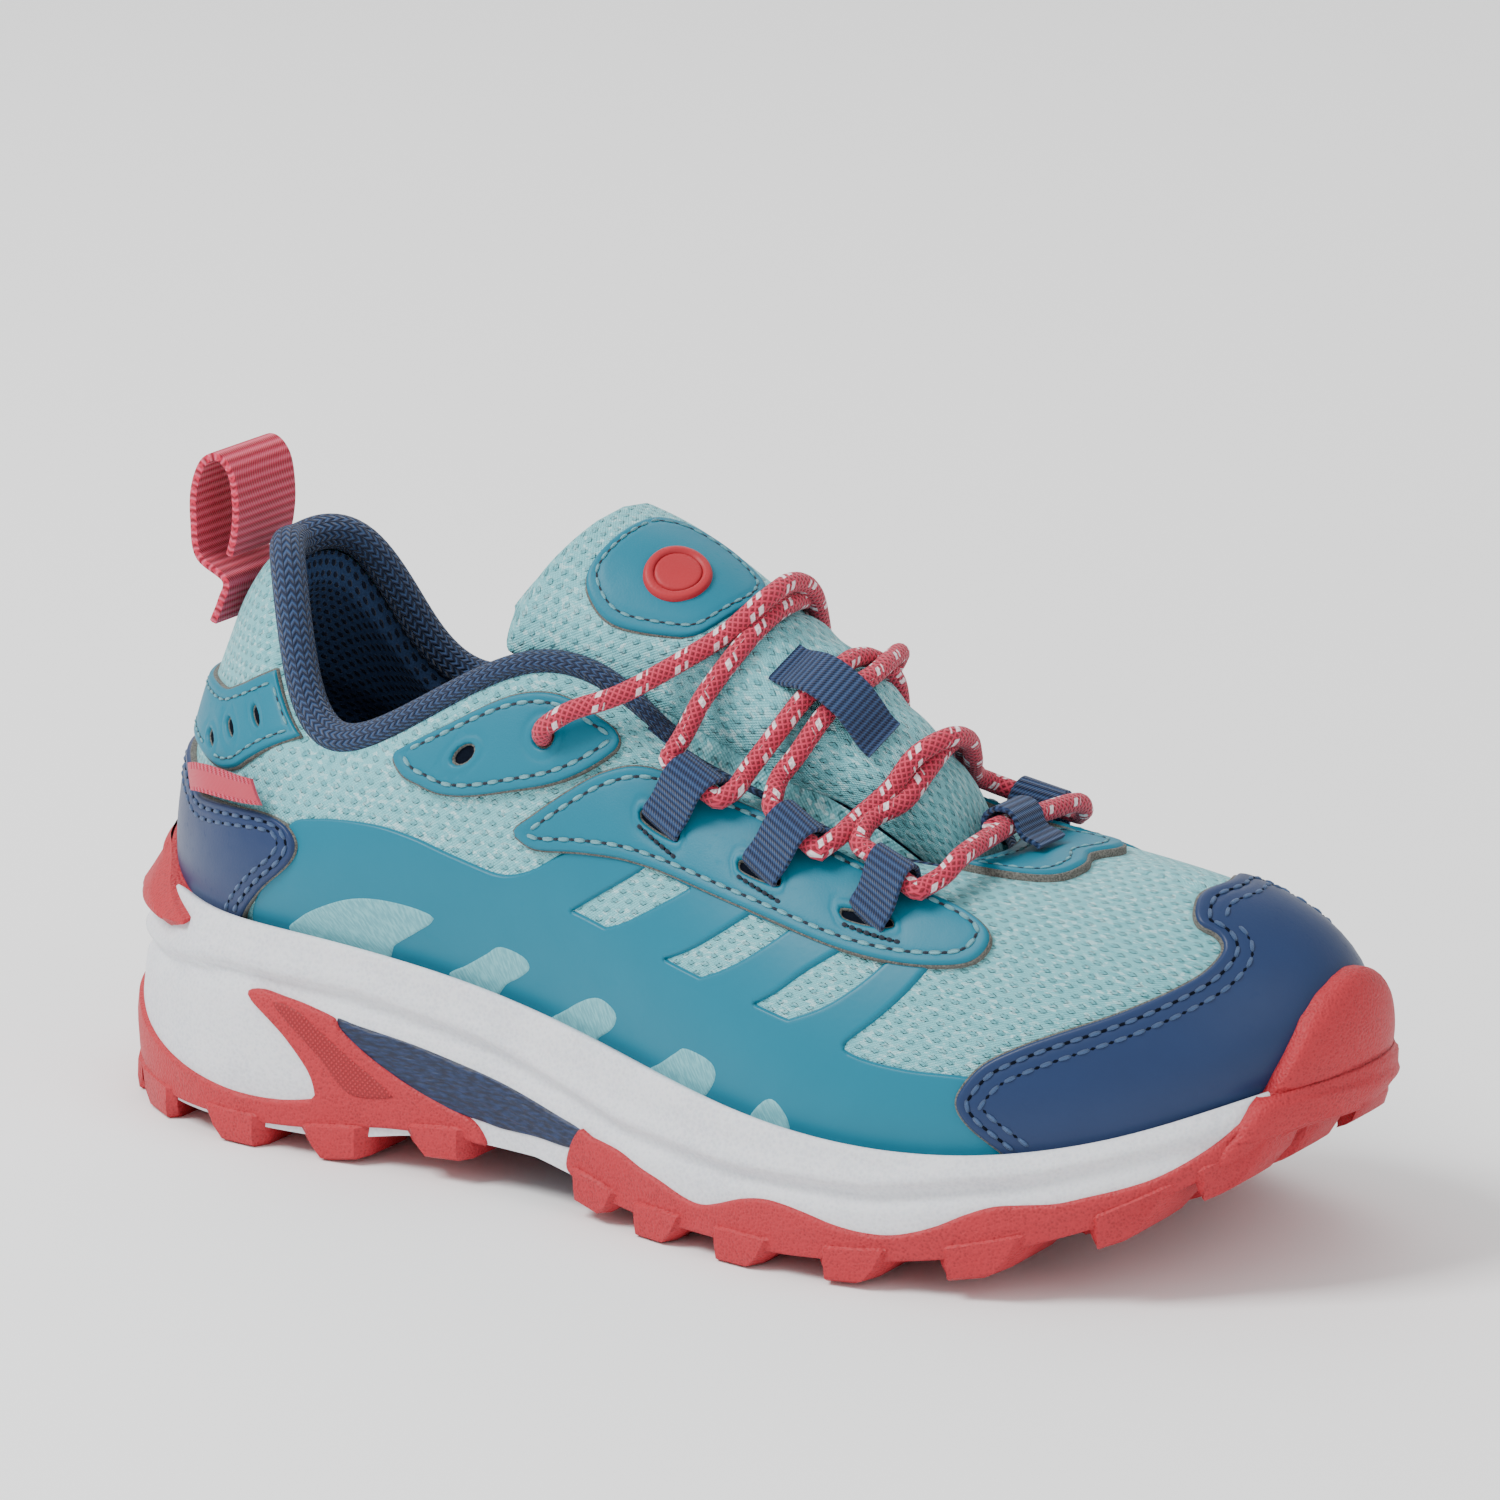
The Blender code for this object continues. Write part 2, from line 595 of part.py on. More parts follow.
def make_heel_clip():
    """The rubber clip that carries the outsole's colour up round the back of the heel."""
    u = np.linspace(-13, 13, 15)
    w = np.abs(u)
    lip_z = upper(u, 0 * u + LIP_V)[:, 2] + 1.2
    top_z = lip_z + 1.5 + 10 * (1 - (w / 13.5) ** 1.6)
    out = lip_out(u)
    bottom_in, bottom_out = plan(u, out - 1.1, lip_z), plan(u, out + 2.6, lip_z)
    top_in = plan(u, bulge(u, 20) + 2.6, top_z)
    top_out = plan(u, bulge(u, 20) + 3.6, top_z)
    loft("heel_clip", np.stack([bottom_in, bottom_out, top_out, top_in], axis=1), "coral")


def flat_piece(name, inset, low, high, colour):
    """A flat layer inside the shoe that follows the feather edge."""
    stations = np.concatenate([np.linspace(0, 20, 7), np.linspace(25, 90, 16), np.linspace(94, 100, 4)])

    def chain(u):
        return [plan(u, 0 * u - inset, feather_z(u) + high), plan(u, 0 * u - inset, feather_z(u) + low)]

    loft(name, both_sides(chain, stations), colour, caps=False)


# ---------------------------------------------------------------- the upper

def ring_sheet(name, heights, us, vs, colour, thickness):
    """A sheet all round the upper, thickened inwards."""
    uu, vv = np.meshgrid(us, vs, indexing="ij")
    points = offset(upper, uu, vv, heights(uu, vv)).reshape(-1, 3)
    obj = mesh_object(name, points, grid_faces(len(us), len(vs), True), colour)
    return thicken(obj, thickness, -1)


def make_cloth():
    us, vs = np.linspace(0, 200, 64, endpoint=False), np.linspace(0, 100, 11)
    ring_sheet("upper_mesh", lambda u, v: 0 * u + CLOTH_OUT, us, vs, "aqua", CLOTH_OUT - CLOTH_IN)
    us, vs = np.linspace(0, 200, 50, endpoint=False), np.linspace(3, 98.5, 8)
    ring_sheet("lining", lambda u, v: LINING_OUT - padding(u, v), us, vs, "navy", LINING_THICK)


def filling(name, u_range, v_range, depth, colour):
    """A layer that fills the space between the cloth and the lining."""
    us = np.linspace(u_range[0], u_range[1], 19)
    vs = np.linspace(v_range[0], v_range[1], 6)
    uu, vv = np.meshgrid(us, vs, indexing="ij")
    points = offset(upper, uu, vv, CLOTH_IN - 0.6).reshape(-1, 3)
    thicken(mesh_object(name, points, grid_faces(len(us), len(vs)), colour), depth, -1)


def make_collar_roll():
    """The knitted roll round the ankle opening, thick at the back and slim towards the laces."""
    u = np.linspace(-50, 50, 43)
    w = np.abs(u)
    radius = 2.9 - 0.9 * ease(w, 18, 36) - 0.5 * ease(w, 42, 50)
    edge = upper(u, 0 * u + 100)
    normal = offset(upper, u, 0 * u + 100, 1.0) - edge
    along = upper(u + 0.2, 0 * u + 100) - upper(u - 0.2, 0 * u + 100)
    rise = np.cross(normal, along)
    rise /= np.linalg.norm(rise, axis=1, keepdims=True)
    centre = edge + normal * (0.8 - radius)[:, None] + rise * (radius + 0.5)[:, None]
    cord("collar_roll", centre, 1.0, "navy", resolution=1)
    roll = bpy.data.objects["collar_roll"]
    for point, r in zip(roll.data.splines[0].points, radius):
        point.radius = r


# Outlines on the outer side, in (u, v).
FILM = [(18, 2), (18, 2), (18.5, 12), (20, 30), (21, 50), (21.5, 63), (23.5, 66.8), (25.5, 66), (28, 61.5), (30.5, 55),
        (33, 48.5), (35.5, 44.3), (37.3, 43.3), (39.2, 46), (41, 51), (43.5, 58), (47, 66), (47, 66),
        (56, 68), (64, 68), (72, 66), (77.5, 64), (77.5, 64), (73.5, 52), (71, 45), (68.2, 37),
        (69, 34.5), (72, 32.8), (76, 31), (79, 26), (80, 14), (79.5, 2), (79.5, 2), (50, 2), (30, 2)]
FILM_WINDOWS = [
    [(43, 40.2), (43, 40.2), (45.5, 48), (48.5, 57), (50, 62), (50, 62), (54.8, 62), (54.8, 62), (51, 52),
     (48, 44), (46.3, 40.3), (46.3, 40.3)],
    [(52.3, 41), (52.3, 41), (55, 47), (58, 54.5), (61, 62), (61, 62), (65, 62), (65, 62), (61.5, 53),
     (58.5, 46), (56, 41), (56, 41)],
    [(61, 40.3), (61, 40.3), (63, 45), (66, 53), (69.5, 61), (69.5, 61), (73, 60), (73, 60), (70, 52),
     (67, 45), (64, 39.5), (64, 39.5)]]
EYESTAY = [(37.7, 55.5), (38.4, 53), (40, 52.2), (44, 56), (48, 60), (52, 62.4), (57, 63), (64, 62.4), (71, 60.3),
           (76, 59.2), (79, 60), (81, 65), (81.4, 70), (80.5, 76), (78, 82), (74, 87), (69, 90), (63, 91.2),
           (57, 91), (52, 89.5), (48, 85), (44.5, 77), (41.5, 68), (39, 60)]
ANKLE = [(28.3, 88), (29.2, 79), (30.5, 73), (32, 67.8), (33.8, 65.3), (36, 65.2), (39, 67.5), (41.5, 72), (43.8, 79),
         (45.3, 86), (44.8, 89.6), (42.5, 90.6), (39.5, 92.3), (36, 92.2), (32, 90.5), (29.3, 90)]
TOE_CAP_HALF = [(100, 2), (90, 2), (79, 2), (79, 2), (77.5, 9), (75.6, 18), (75.1, 24), (75.8, 29), (77.3, 34), (79.5, 37.2),
                (82, 39.3), (86, 41.6), (90, 44.5), (92, 46.6), (93.7, 50), (94.2, 54), (94, 58), (95, 62),
                (97, 65), (100, 64.6)]
COUNTER_HALF = [(0, 46), (5, 45), (9, 43.5), (11, 42.6), (13, 46), (16, 53.5), (18.3, 59), (20, 61), (21.3, 60),
                (22.3, 55.5), (22.6, 50), (22.3, 44), (21.6, 38), (20.4, 30), (19, 20), (17.5, 9), (17, 2), (17, 2), (8, 2),
                (0, 2)]
BAND_HALF = [(0, 65), (5, 65), (9, 69), (11, 77), (12.6, 88), (13.7, 97), (13.7, 97), (18.8, 97), (18.8, 97),
             (17.4, 88), (16, 78), (15, 70), (13.8, 61), (11.8, 54.5), (8, 50.5), (0, 49)]
BAND_SLOTS = [(14, 81), (12, 67.5), (10.1, 57.5)]
THROAT = [(88, 96), (89.5, 88), (92, 84), (96, 85), (100, 87.5), (104, 85), (108, 84), (110.5, 88), (112, 96),
          (106, 98.5), (100, 98.8), (94, 98.5)]
# Each lace loop, from its slot to the middle of its fold, and which way the lace runs in it: (u, v).
LOOPS = [((51.0, 73.0), (54.2, 88.8), (5.6, -3.5)), ((62.2, 73.0), (66.1, 86.8), (4.7, -6.5)),
         ((72.3, 70.0), (76.2, 82.0), (2.7, -9.0))]
LACE_IN_LOOP = 4.1


def slot(u, v, width, height):
    """A small rounded slot in (u, v)."""
    a, b = width / 2, height / 2
    return [(u - a, v - 0.6 * b), (u - 0.5 * a, v - b), (u + 0.5 * a, v - b), (u + a, v - 0.6 * b),
            (u + a, v + 0.6 * b), (u + 0.5 * a, v + b), (u - 0.5 * a, v + b), (u - a, v + 0.6 * b)]


def whole(half):
    """A half outline that starts and ends on the shoe's middle, joined to its mirror image."""
    middle = half[0][0]
    other = [(2 * middle - u, v) for u, v in reversed(half[1:-1])]
    return half + other


def make_sewn_pieces():
    for side, flip in (("lateral", list), ("medial", mirrored)):
        windows = [flip(window) for window in FILM_WINDOWS]
        sewn("film_" + side, flip(FILM), "teal", FILM_LOW, FILM_THICK, windows, pitch=9.0, step=6.5)
        slots = [flip(slot(u, v, 4.4, 4)) for (u, v), _, _ in LOOPS]
        sewn("eyestay_" + side, flip(EYESTAY), "teal", OVERLAY_LOW, OVERLAY_THICK, slots)
        eyelets = [flip(slot(33.2, 78, 1.3, 5.5)), flip(slot(38.8, 80.5, 2.3, 8.5))]
        sewn("ankle_overlay_" + side, flip(ANKLE), "teal", OVERLAY_LOW, OVERLAY_THICK, eyelets)
    sewn("toe_cap", whole(TOE_CAP_HALF), "navy", OVERLAY_LOW, OVERLAY_THICK, pitch=6.5)
    sewn("heel_counter_overlay", whole(COUNTER_HALF), "navy", OVERLAY_LOW, OVERLAY_THICK)
    slots = [slot(u, v, 1.3, 3) for u, v in BAND_SLOTS] + [slot(-u, v, 1.3, 3) for u, v in BAND_SLOTS]
    sewn("heel_band", whole(BAND_HALF), "teal", FILM_LOW, FILM_THICK + 0.1, slots)
    sewn("throat_overlay", THROAT, "teal", OVERLAY_LOW, OVERLAY_THICK, pitch=4.0, step=4.0)


# A lace loop leaves its slot, climbs over the lace and comes down on the eyestay's edge: (share, height).
LOOP_PATH = [(0.02, 2.8), (0.16, 2.8), (0.3, 2.9), (0.45, 3.4), (0.6, 4.6), (0.76, 6.2), (0.92, 7.0), (1.07, 7.0),
             (1.24, 6.4), (1.36, 5.0), (1.4, 3.0)]


def make_lace_loops():
    share, height = np.array(LOOP_PATH).T
    for side in ("lateral", "medial"):
        for number, (start, fold, run) in enumerate(LOOPS, 1):
            u, v = (start[k] + share * (fold[k] - start[k]) for k in (0, 1))
            du, dv = run
            if side == "medial":
                u, du = 200 - u, -du
            centres = offset(upper, u, v, height)
            sideways = upper(u + 0.1 * du, v + 0.1 * dv) - upper(u - 0.1 * du, v - 0.1 * dv)
            sideways /= np.linalg.norm(sideways, axis=1, keepdims=True)
            strap(f"lace_loop_{side}_{number}", centres, sideways, WEBBING_WIDTH, WEBBING_THICK, "navy")
    bent = right_foot([[177.6, 0, 67.8], [175.6, 0, 68.3], [174.6, 0, 69.6], [174.1, 0, 71.2], [172.7, 0, 72.6],
                       [170.4, 0, 72.7], [168.6, 0, 71.5], [168.1, 0, 69.6], [168.7, 0, 67.9]])
    strap("throat_loop", bent, (0, 1, 0), WEBBING_WIDTH, WEBBING_THICK, "navy")


# ---------------------------------------------------------------- the tongue

TONGUE_PIVOT = (169.0, 0.0, 60.0)


def tongue_layer(name, low, high, colour, s_range, edge, counts):
    """A closed layer of the tongue, thin along its edges and under the vamp: high is its top elsewhere."""
    places = np.linspace(*s_range, counts[0])
    across = np.linspace(-edge, edge, counts[1])
    pad = (high - low - 0.7) * (1 - ease(np.abs(across), 0.72 * edge, edge))
    sections = []
    for s in places:
        over = offset(tongue, s + 0 * across, across, low + 0.7 + pad * ease(s, 0.12, 0.26))
        under = offset(tongue, s + 0 * across, across, low)
        sections.append(np.vstack([over, under[::-1]]))
    loft(name, sections, colour, pivot=TONGUE_PIVOT)


TONGUE_PATCH = [(0.9, 0.05), (0.905, 0.3), (0.89, 0.5), (0.84, 0.61), (0.78, 0.64), (0.7, 0.56), (0.655, 0.46),
                (0.635, 0.25), (0.63, 0.05), (0.66, -0.12), (0.74, -0.2), (0.83, -0.16), (0.88, -0.06)]
EMBLEM_MIDDLE, EMBLEM_SIZE = (0.757, 0.26), (0.058, 0.17)
KEEPER_ACROSS = 0.31


def make_tongue():
    tongue_layer("tongue_shell", 0.4, TONGUE_THICK + 0.4, "aqua", (0, 1), 0.84, (17, 11))
    tongue_layer("tongue_lining", -0.85, -0.1, "navy", (0.02, 0.99), 0.8, (13, 7))
    top = TONGUE_THICK + 1.2
    sewn("tongue_patch", TONGUE_PATCH, "teal", top, 0.7, surface=tongue, pivot=TONGUE_PIVOT)
    angles = np.linspace(0, 2 * math.pi, 12, endpoint=False)
    oval = [(EMBLEM_MIDDLE[0] + EMBLEM_SIZE[0] * math.cos(a), EMBLEM_MIDDLE[1] + EMBLEM_SIZE[1] * math.sin(a))
            for a in angles]
    sewn("tongue_emblem", oval, "coral", top + 1.7, 0.5, surface=tongue, pivot=TONGUE_PIVOT)
    s = np.array([0.355, 0.37, 0.385, 0.408, 0.43, 0.46, 0.482, 0.502, 0.515, 0.53])
    height = np.array([4.5, 4.6, 6.0, 8.2, 9.0, 9.0, 8.2, 6.0, 4.6, 4.5])
    centres = offset(tongue, s, 0 * s + KEEPER_ACROSS, height)
    sideways = tongue(s, 0 * s + KEEPER_ACROSS - 0.05) - tongue(s, 0 * s + KEEPER_ACROSS + 0.05)
    sideways /= np.linalg.norm(sideways, axis=1, keepdims=True)
    strap("tongue_keeper", centres, sideways, 9.0, WEBBING_THICK, "navy", TONGUE_PIVOT)


# ---------------------------------------------------------------- laces, pull tab and label

OVER = TONGUE_THICK + 0.4 + LACE_RADIUS + 0.4  # the lace's middle where it lies on the tongue
CROSS = 2 * LACE_RADIUS + 0.3                     # how much higher it lies where it passes over itself
# Each stop of the lace is (surface, its two coordinates, height above it), on the outer side.
EYELET = (38.8, 80.5)
TO_EYELET = [(tongue, 0.6, 0.18, OVER), (tongue, 0.618, 0.4, OVER), (tongue, 0.66, 0.68, OVER),
             (upper, 44.8, 98.5, 5.2), (upper, 41.6, 89, 5.0), (upper, 39.6, 83.2, 4.2), (upper, *EYELET, 1.6),
             (upper, *EYELET, -2.0)]
REAR_OF_1 = [(tongue, 0.588, 0.22, OVER), (tongue, 0.586, 0.46, OVER), (tongue, 0.59, 0.7, OVER), (upper, 51.6, 100.5, 4.6),
             (upper, 51.2, 94, 4.2)]
FRONT_OF_1 = [(upper, 57.6, 87, LACE_IN_LOOP), (upper, 59, 92, 4.3), (upper, 59.6, 99.5, 4.6), (tongue, 0.477, 0.66, OVER),
              (tongue, 0.473, 0.43, OVER), (tongue, 0.468, 0.2, OVER)]
REAR_OF_2 = [(upper, 63.2, 93, 4.2), (upper, 63.0, 101, 4.8), (tongue, 0.437, 0.68, OVER), (tongue, 0.436, 0.44, OVER),
             (tongue, 0.434, 0.2, OVER)]
FRONT_OF_2 = [(upper, 69.1, 84, LACE_IN_LOOP), (upper, 71.2, 90, 4.4), (upper, 73.4, 98, 5.0), (tongue, 0.31, 0.56, OVER),
              (tongue, 0.312, 0.32, OVER)]
REAR_OF_3 = [(upper, 73.4, 90, 4.1), (upper, 75.1, 98, 5.4), (tongue, 0.289, 0.56, OVER), (tongue, 0.292, 0.3, OVER)]
FRONT_OF_3 = [(upper, 78.2, 77.5, LACE_IN_LOOP), (upper, 80.9, 81.5, 4.2), (upper, 85, 88.5, 4.8)]
THROAT_LACE = (171.2, 69.8)


def mirror_stop(stop):
    surface, a, b, height = stop
    return (surface, 200 - a, b, height) if surface is upper else (surface, a, -b, height)


def in_loop(number):
    """The lace inside a lace loop on the outer side, from its heel end to its toe end."""
    _, (u, v), (du, dv) = LOOPS[number - 1]
    return [(upper, u + share * du, v + share * dv, LACE_IN_LOOP) for share in (-0.55, 0.0, 0.55)]


def raised(stops, places):
    """The same stops, with the listed ones a lace's thickness higher."""
    return [(*stop[:3], stop[3] + CROSS) if i in places else stop for i, stop in enumerate(stops)]


def points_of(stops):
    return [offset(surface, a, b, height) for surface, a, b, height in stops]


def other_side(stops):
    return [mirror_stop(stop) for stop in stops]


def lace_path():
    """The laced run: in at the outer ankle eyelet, down to the throat and back to the inner eyelet."""
    over_3 = [(tongue, 0.602, -0.02, OVER + CROSS), (tongue, 0.594, -0.24, OVER + 1.6)]
    under_3 = [(tongue, 0.592, 0.0, OVER), (tongue, 0.602, -0.22, OVER)]
    first = TO_EYELET[::-1][:-1] + raised(TO_EYELET[:1], {0}) + over_3
    first += other_side(REAR_OF_1[2:] + in_loop(1) + FRONT_OF_1[:4])
    first += [(tongue, 0.468, -0.44, OVER + CROSS), (tongue, 0.446, -0.2, OVER + 1.2), (tongue, 0.434, 0.0, OVER)]
    first += REAR_OF_2[::-1] + in_loop(2) + FRONT_OF_2[:-1]
    first += [(tongue, 0.312, 0.32, OVER + 2.2), (tongue, 0.304, 0.1, OVER + CROSS), (tongue, 0.296, -0.14, OVER + 2.2),
              (tongue, 0.29, -0.4, OVER)]
    first += other_side(REAR_OF_3[:2][::-1] + in_loop(3) + FRONT_OF_3)
    throat = [right_foot([THROAT_LACE[0], -y, THROAT_LACE[1]]) for y in (-6.0, 0.0, 6.0)]
    second = FRONT_OF_3[::-1] + in_loop(3)[::-1] + REAR_OF_3
    second += [(tongue, 0.3, 0.06, OVER), (tongue, 0.308, -0.2, OVER), (tongue, 0.312, -0.5, OVER)]
    second += other_side(FRONT_OF_2[:3][::-1] + in_loop(2)[::-1] + REAR_OF_2[:3])
    second += [(tongue, 0.446, -0.44, OVER), (tongue, 0.462, -0.2, OVER), (tongue, 0.47, 0.0, OVER)]
    second += FRONT_OF_1[::-1] + in_loop(1)[::-1] + REAR_OF_1[::-1] + under_3
    second += other_side(TO_EYELET[1:])
    return np.vstack(points_of(first) + throat + points_of(second))


# Each lace end runs down inside the shoe and forward above the insole, to its aglet.
TAIL = [(*EYELET, -3.7), (38.9, 78.3, -5.7), (39.8, 66, -6.4), (42, 48, -6.6), (46, 34, -6.8), (52, 27, -7.0),
        (60, 25, -7.0), (70, 25, -7.0), (78, 25, -7.2)]
AGLET = [(78.4, 25, -7.2), (80.2, 25, -7.3), (82.4, 25, -7.4)]


def make_laces():
    cord("lace", spline_path(lace_path(), 165), LACE_RADIUS, "pink", resolution=1)
    for side in ("lateral", "medial"):
        for name, stops, radius, count in (("lace_end_", TAIL, LACE_RADIUS, 24), ("aglet_", AGLET, 1.5, 3)):
            stops = [(upper, *stop) for stop in stops]
            path = spline_path(points_of(stops if side == "lateral" else other_side(stops)), count)
            cord(name + side, path, radius, "pink" if radius == LACE_RADIUS else "grey", resolution=1)


def cut_lace_holes():
    """The ankle eyelets go through the cloth and the lining."""
    angles = np.linspace(0, 2 * math.pi, 10, endpoint=False)[:, None]
    for u, side in ((EYELET[0], "lateral"), (200 - EYELET[0], "medial")):
        outside, within = (offset(upper, u, EYELET[1], height) for height in (4.0, -6.5))
        up = upper(u, EYELET[1] + 1) - upper(u, EYELET[1])
        along = np.cross(up, outside - within)
        reach = LACE_RADIUS + 0.7
        ring = (np.cos(angles) * up / np.linalg.norm(up) + np.sin(angles) * along / np.linalg.norm(along)) * reach
        cutter = helper(loft("eyelet_cutter_" + side, [within + ring, outside + ring], "grey"))
        for name in ("upper_mesh", "lining"):
            hole = bpy.data.objects[name].modifiers.new("eyelet_" + side, "BOOLEAN")
            hole.operation = "DIFFERENCE"
            hole.object = cutter


def make_pull_tab():
    rear = [offset(upper, 0.0, v, h) for v, h in ((79, 1.3), (84, 1.5), (89, 2.6))]
    free = [right_foot([x, 0, z]) for x, z in ((9.8, 96), (8.8, 102), (9.0, 108), (11, 113), (14.2, 114.5),
                                               (17, 111.8), (17.9, 106), (17.5, 101), (16.4, 97))]
    path = spline_path(rear + free, 30)
    strap("pull_tab", path, (0, 1, 0), 18.0, 1.2, "pink", (9.5, 0, 84))


def make_label():
    corners = np.array([[9.6, 48], [17.6, 70.5], [19.5, 65], [11.2, 43.8]])
    share = np.linspace(0, 1, 7)[:, None]
    top = corners[0] * (1 - share) + corners[1] * share
    low = corners[3] * (1 - share) + corners[2] * share
    height = 2.6 + 1.2 * share[:, 0]
    a = offset(upper, top[:, 0], top[:, 1], height)
    b = offset(upper, low[:, 0], low[:, 1], height)
    points = np.stack([a, b], axis=1).reshape(-1, 3)
    obj = mesh_object("label", points, grid_faces(7, 2), "pink", tuple((a[0] + b[0]) / 2))
    thicken(obj, 0.8, 0)


def main():
    make_midsole()
    make_heel_outsole()
    make_arch_plate()
    make_forefoot_outsole()
    make_toe_bumper()
    make_heel_clip()
    flat_piece("insole_board", 2.3, -1.3, 0.0, "grey")
    flat_piece("insole", 5.2, 0.4, 4.2, "navy")
    make_cloth()
    filling("collar_foam", (-19, 19), (67, 94), 3.2, "grey")
    filling("heel_stiffener", (-23, 23), (5, 48), 0.9, "grey")
    filling("toe_puff", (81, 119), (5, 44), 0.9, "grey")
    make_collar_roll()
    make_sewn_pieces()
    make_lace_loops()
    make_tongue()
    make_laces()
    cut_lace_holes()
    make_pull_tab()
    make_label()


clear_scene()
SHOE, HELPERS = (bpy.data.collections.new(name) for name in ("hiking_shoe", "helpers"))
for group in (SHOE, HELPERS):
    bpy.context.scene.collection.children.link(group)
main()
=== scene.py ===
"""The looks of a child's waterproof hiking shoe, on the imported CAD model.

Points are worked out in the drawing's millimetres: x from heel to toe, z up, outer side at -y. The
upper is one surface with two coordinates: u runs round the shoe (0 heel, 100 toe, on to 200) and v
climbs from the feather edge (0) to the topline (100). Every sewn piece is an outline on a surface.
"""
import math

import bpy
import numpy as np
from mathutils import Matrix, Vector
from mathutils.geometry import delaunay_2d_cdt

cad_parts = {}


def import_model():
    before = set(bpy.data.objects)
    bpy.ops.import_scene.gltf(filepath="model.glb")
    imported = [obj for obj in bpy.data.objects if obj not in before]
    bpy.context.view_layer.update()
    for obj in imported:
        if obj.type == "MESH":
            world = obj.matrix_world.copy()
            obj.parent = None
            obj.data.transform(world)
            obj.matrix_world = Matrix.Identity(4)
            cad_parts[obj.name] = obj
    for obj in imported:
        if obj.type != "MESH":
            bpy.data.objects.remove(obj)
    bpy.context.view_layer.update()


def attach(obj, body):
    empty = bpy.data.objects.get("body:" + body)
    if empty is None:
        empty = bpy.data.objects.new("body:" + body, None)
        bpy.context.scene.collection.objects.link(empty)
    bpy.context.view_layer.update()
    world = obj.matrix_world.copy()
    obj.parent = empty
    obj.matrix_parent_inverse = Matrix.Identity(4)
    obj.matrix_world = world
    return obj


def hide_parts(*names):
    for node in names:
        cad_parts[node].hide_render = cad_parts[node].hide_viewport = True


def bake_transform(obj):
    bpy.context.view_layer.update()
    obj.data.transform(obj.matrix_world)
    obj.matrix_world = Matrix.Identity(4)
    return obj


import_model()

MM = 0.001
ORIGIN = np.array([117.2, -0.43, 0.0])

# Half of the upper, from the heel to the toe: (x, half breadth, z) of the curves that shape each rib.
STATIONS = [0, 8, 15, 24, 36, 50, 62, 74, 85, 93, 100]
FEATHER = [
    (6, 0, 35), (13, 16.5, 35.5), (28, 26.5, 35.5), (50, 29.5, 35), (84, 29.5, 31), (120, 34, 25),
    (150, 39.5, 21), (181, 39.5, 19.5), (208, 30, 23.5), (223, 17, 29), (229, 0, 30)]
LOW = [
    (1, 0, 50), (9, 18.5, 50), (25, 31.5, 49), (48, 37, 48), (85, 37, 46), (122, 41, 40), (153, 46, 34),
    (187, 46, 34), (219, 34, 42), (237, 19, 49), (243, 0, 55)]
HIGH = [
    (8, 0, 78), (17, 14.5, 76), (33, 27.5, 66), (53, 34, 60), (90, 32, 74), (118, 30, 70), (138, 30, 66),
    (164, 30, 63), (192, 25, 66), (209.5, 13, 69.5), (217, 0, 71.8)]
TOPLINE = [
    (22, 0, 98), (28, 12.5, 96), (37, 21.5, 79.5), (54, 27, 71.5), (88, 24.2, 89.5), (116, 20, 81),
    (135, 17.8, 73.5), (151, 16, 67.5), (162, 12.5, 64.5), (167, 7, 63), (168.5, 0, 62.8)]
# The tongue, from its base under the vamp to its top: (position, x, half breadth, z).
TONGUE_EDGE = [
    (0, 182, 7, 47), (0.1, 171.5, 7.2, 52), (0.2, 162, 7.9, 58), (0.3, 151, 10.4, 64.5),
    (0.45, 134, 13, 71.5), (0.65, 111, 16, 80.5), (0.85, 91, 18.5, 88), (1, 78, 19, 92)]
TONGUE_CROWN = [
    (0, 182, 0, 51), (0.1, 170, 0, 56), (0.2, 163, 0, 67), (0.3, 155, 0, 77), (0.45, 140, 0, 88),
    (0.65, 119, 0, 99.5), (0.85, 102, 0, 107.5), (1, 91, 0, 110.5)]
TONGUE_THICK = 3.4
# Heights along the sole: (x, z) of the ground under the tread.
GROUND = [
    (-6, 12), (-1, 5), (8, 0), (56, 0), (70, 2.7), (80, 4.4), (100, 4.4), (110, 2.7), (122, 0), (155, 0),
    (170, 1), (180, 2.5), (190, 4.1), (200, 7.4), (210, 11), (220, 17.5), (232, 24)]
# The soft ridge moulded along the midsole's side: (station, z).
RIDGE = [
    (0, 28), (12, 29.5), (18, 32), (28, 30.8), (38, 26.5), (44, 22.8), (50, 19), (60, 17), (70, 17.5),
    (80, 22), (90, 29), (100, 31)]
# The midsole's lip: where on the rib it meets the cloth, and how far it stands out and up from there.
LIP_V, LIP_REACH, LIP_RISE = 7, 3.7, 0.6
# How far the sole's wall leans out further down, all round and at the heel besides.
FLARE, HEEL_FLARE = 2.2, 2.6
# How far the toe bends inwards, and the waist outwards.
TOE_BEND, WAIST_BEND = 7, 2
LUG_DEPTH = 4.5
# Where each lug starts and ends along the shoe: the rows at the edges, then the rows between them.
HEEL_LUGS = [[(4, 9.5), (14, 22.5), (33.5, 42.6), (53.5, 63.4), (75, 84.8)],
             [(12, 21), (24, 32), (44.2, 52), (65, 73.5)]]
FOREFOOT_LUGS = [[(109, 116.5), (123.3, 132), (141.4, 150.6), (162.7, 172), (183.4, 193.4), (206, 213),
                  (220, 225)],
                 [(113, 121), (133.8, 139.8), (152.4, 160.9), (173.8, 181.6), (195.2, 204.2)]]
LACE_RADIUS = 1.75
# Two places passed with the pieces that join the shoe and the tongue; build only checks that they are given,
# bakes the piece's transform and puts it on no body.
STRETCH = [(118, 0, 84), (124, 0, 100)]


# ---------------------------------------------------------------- the surfaces

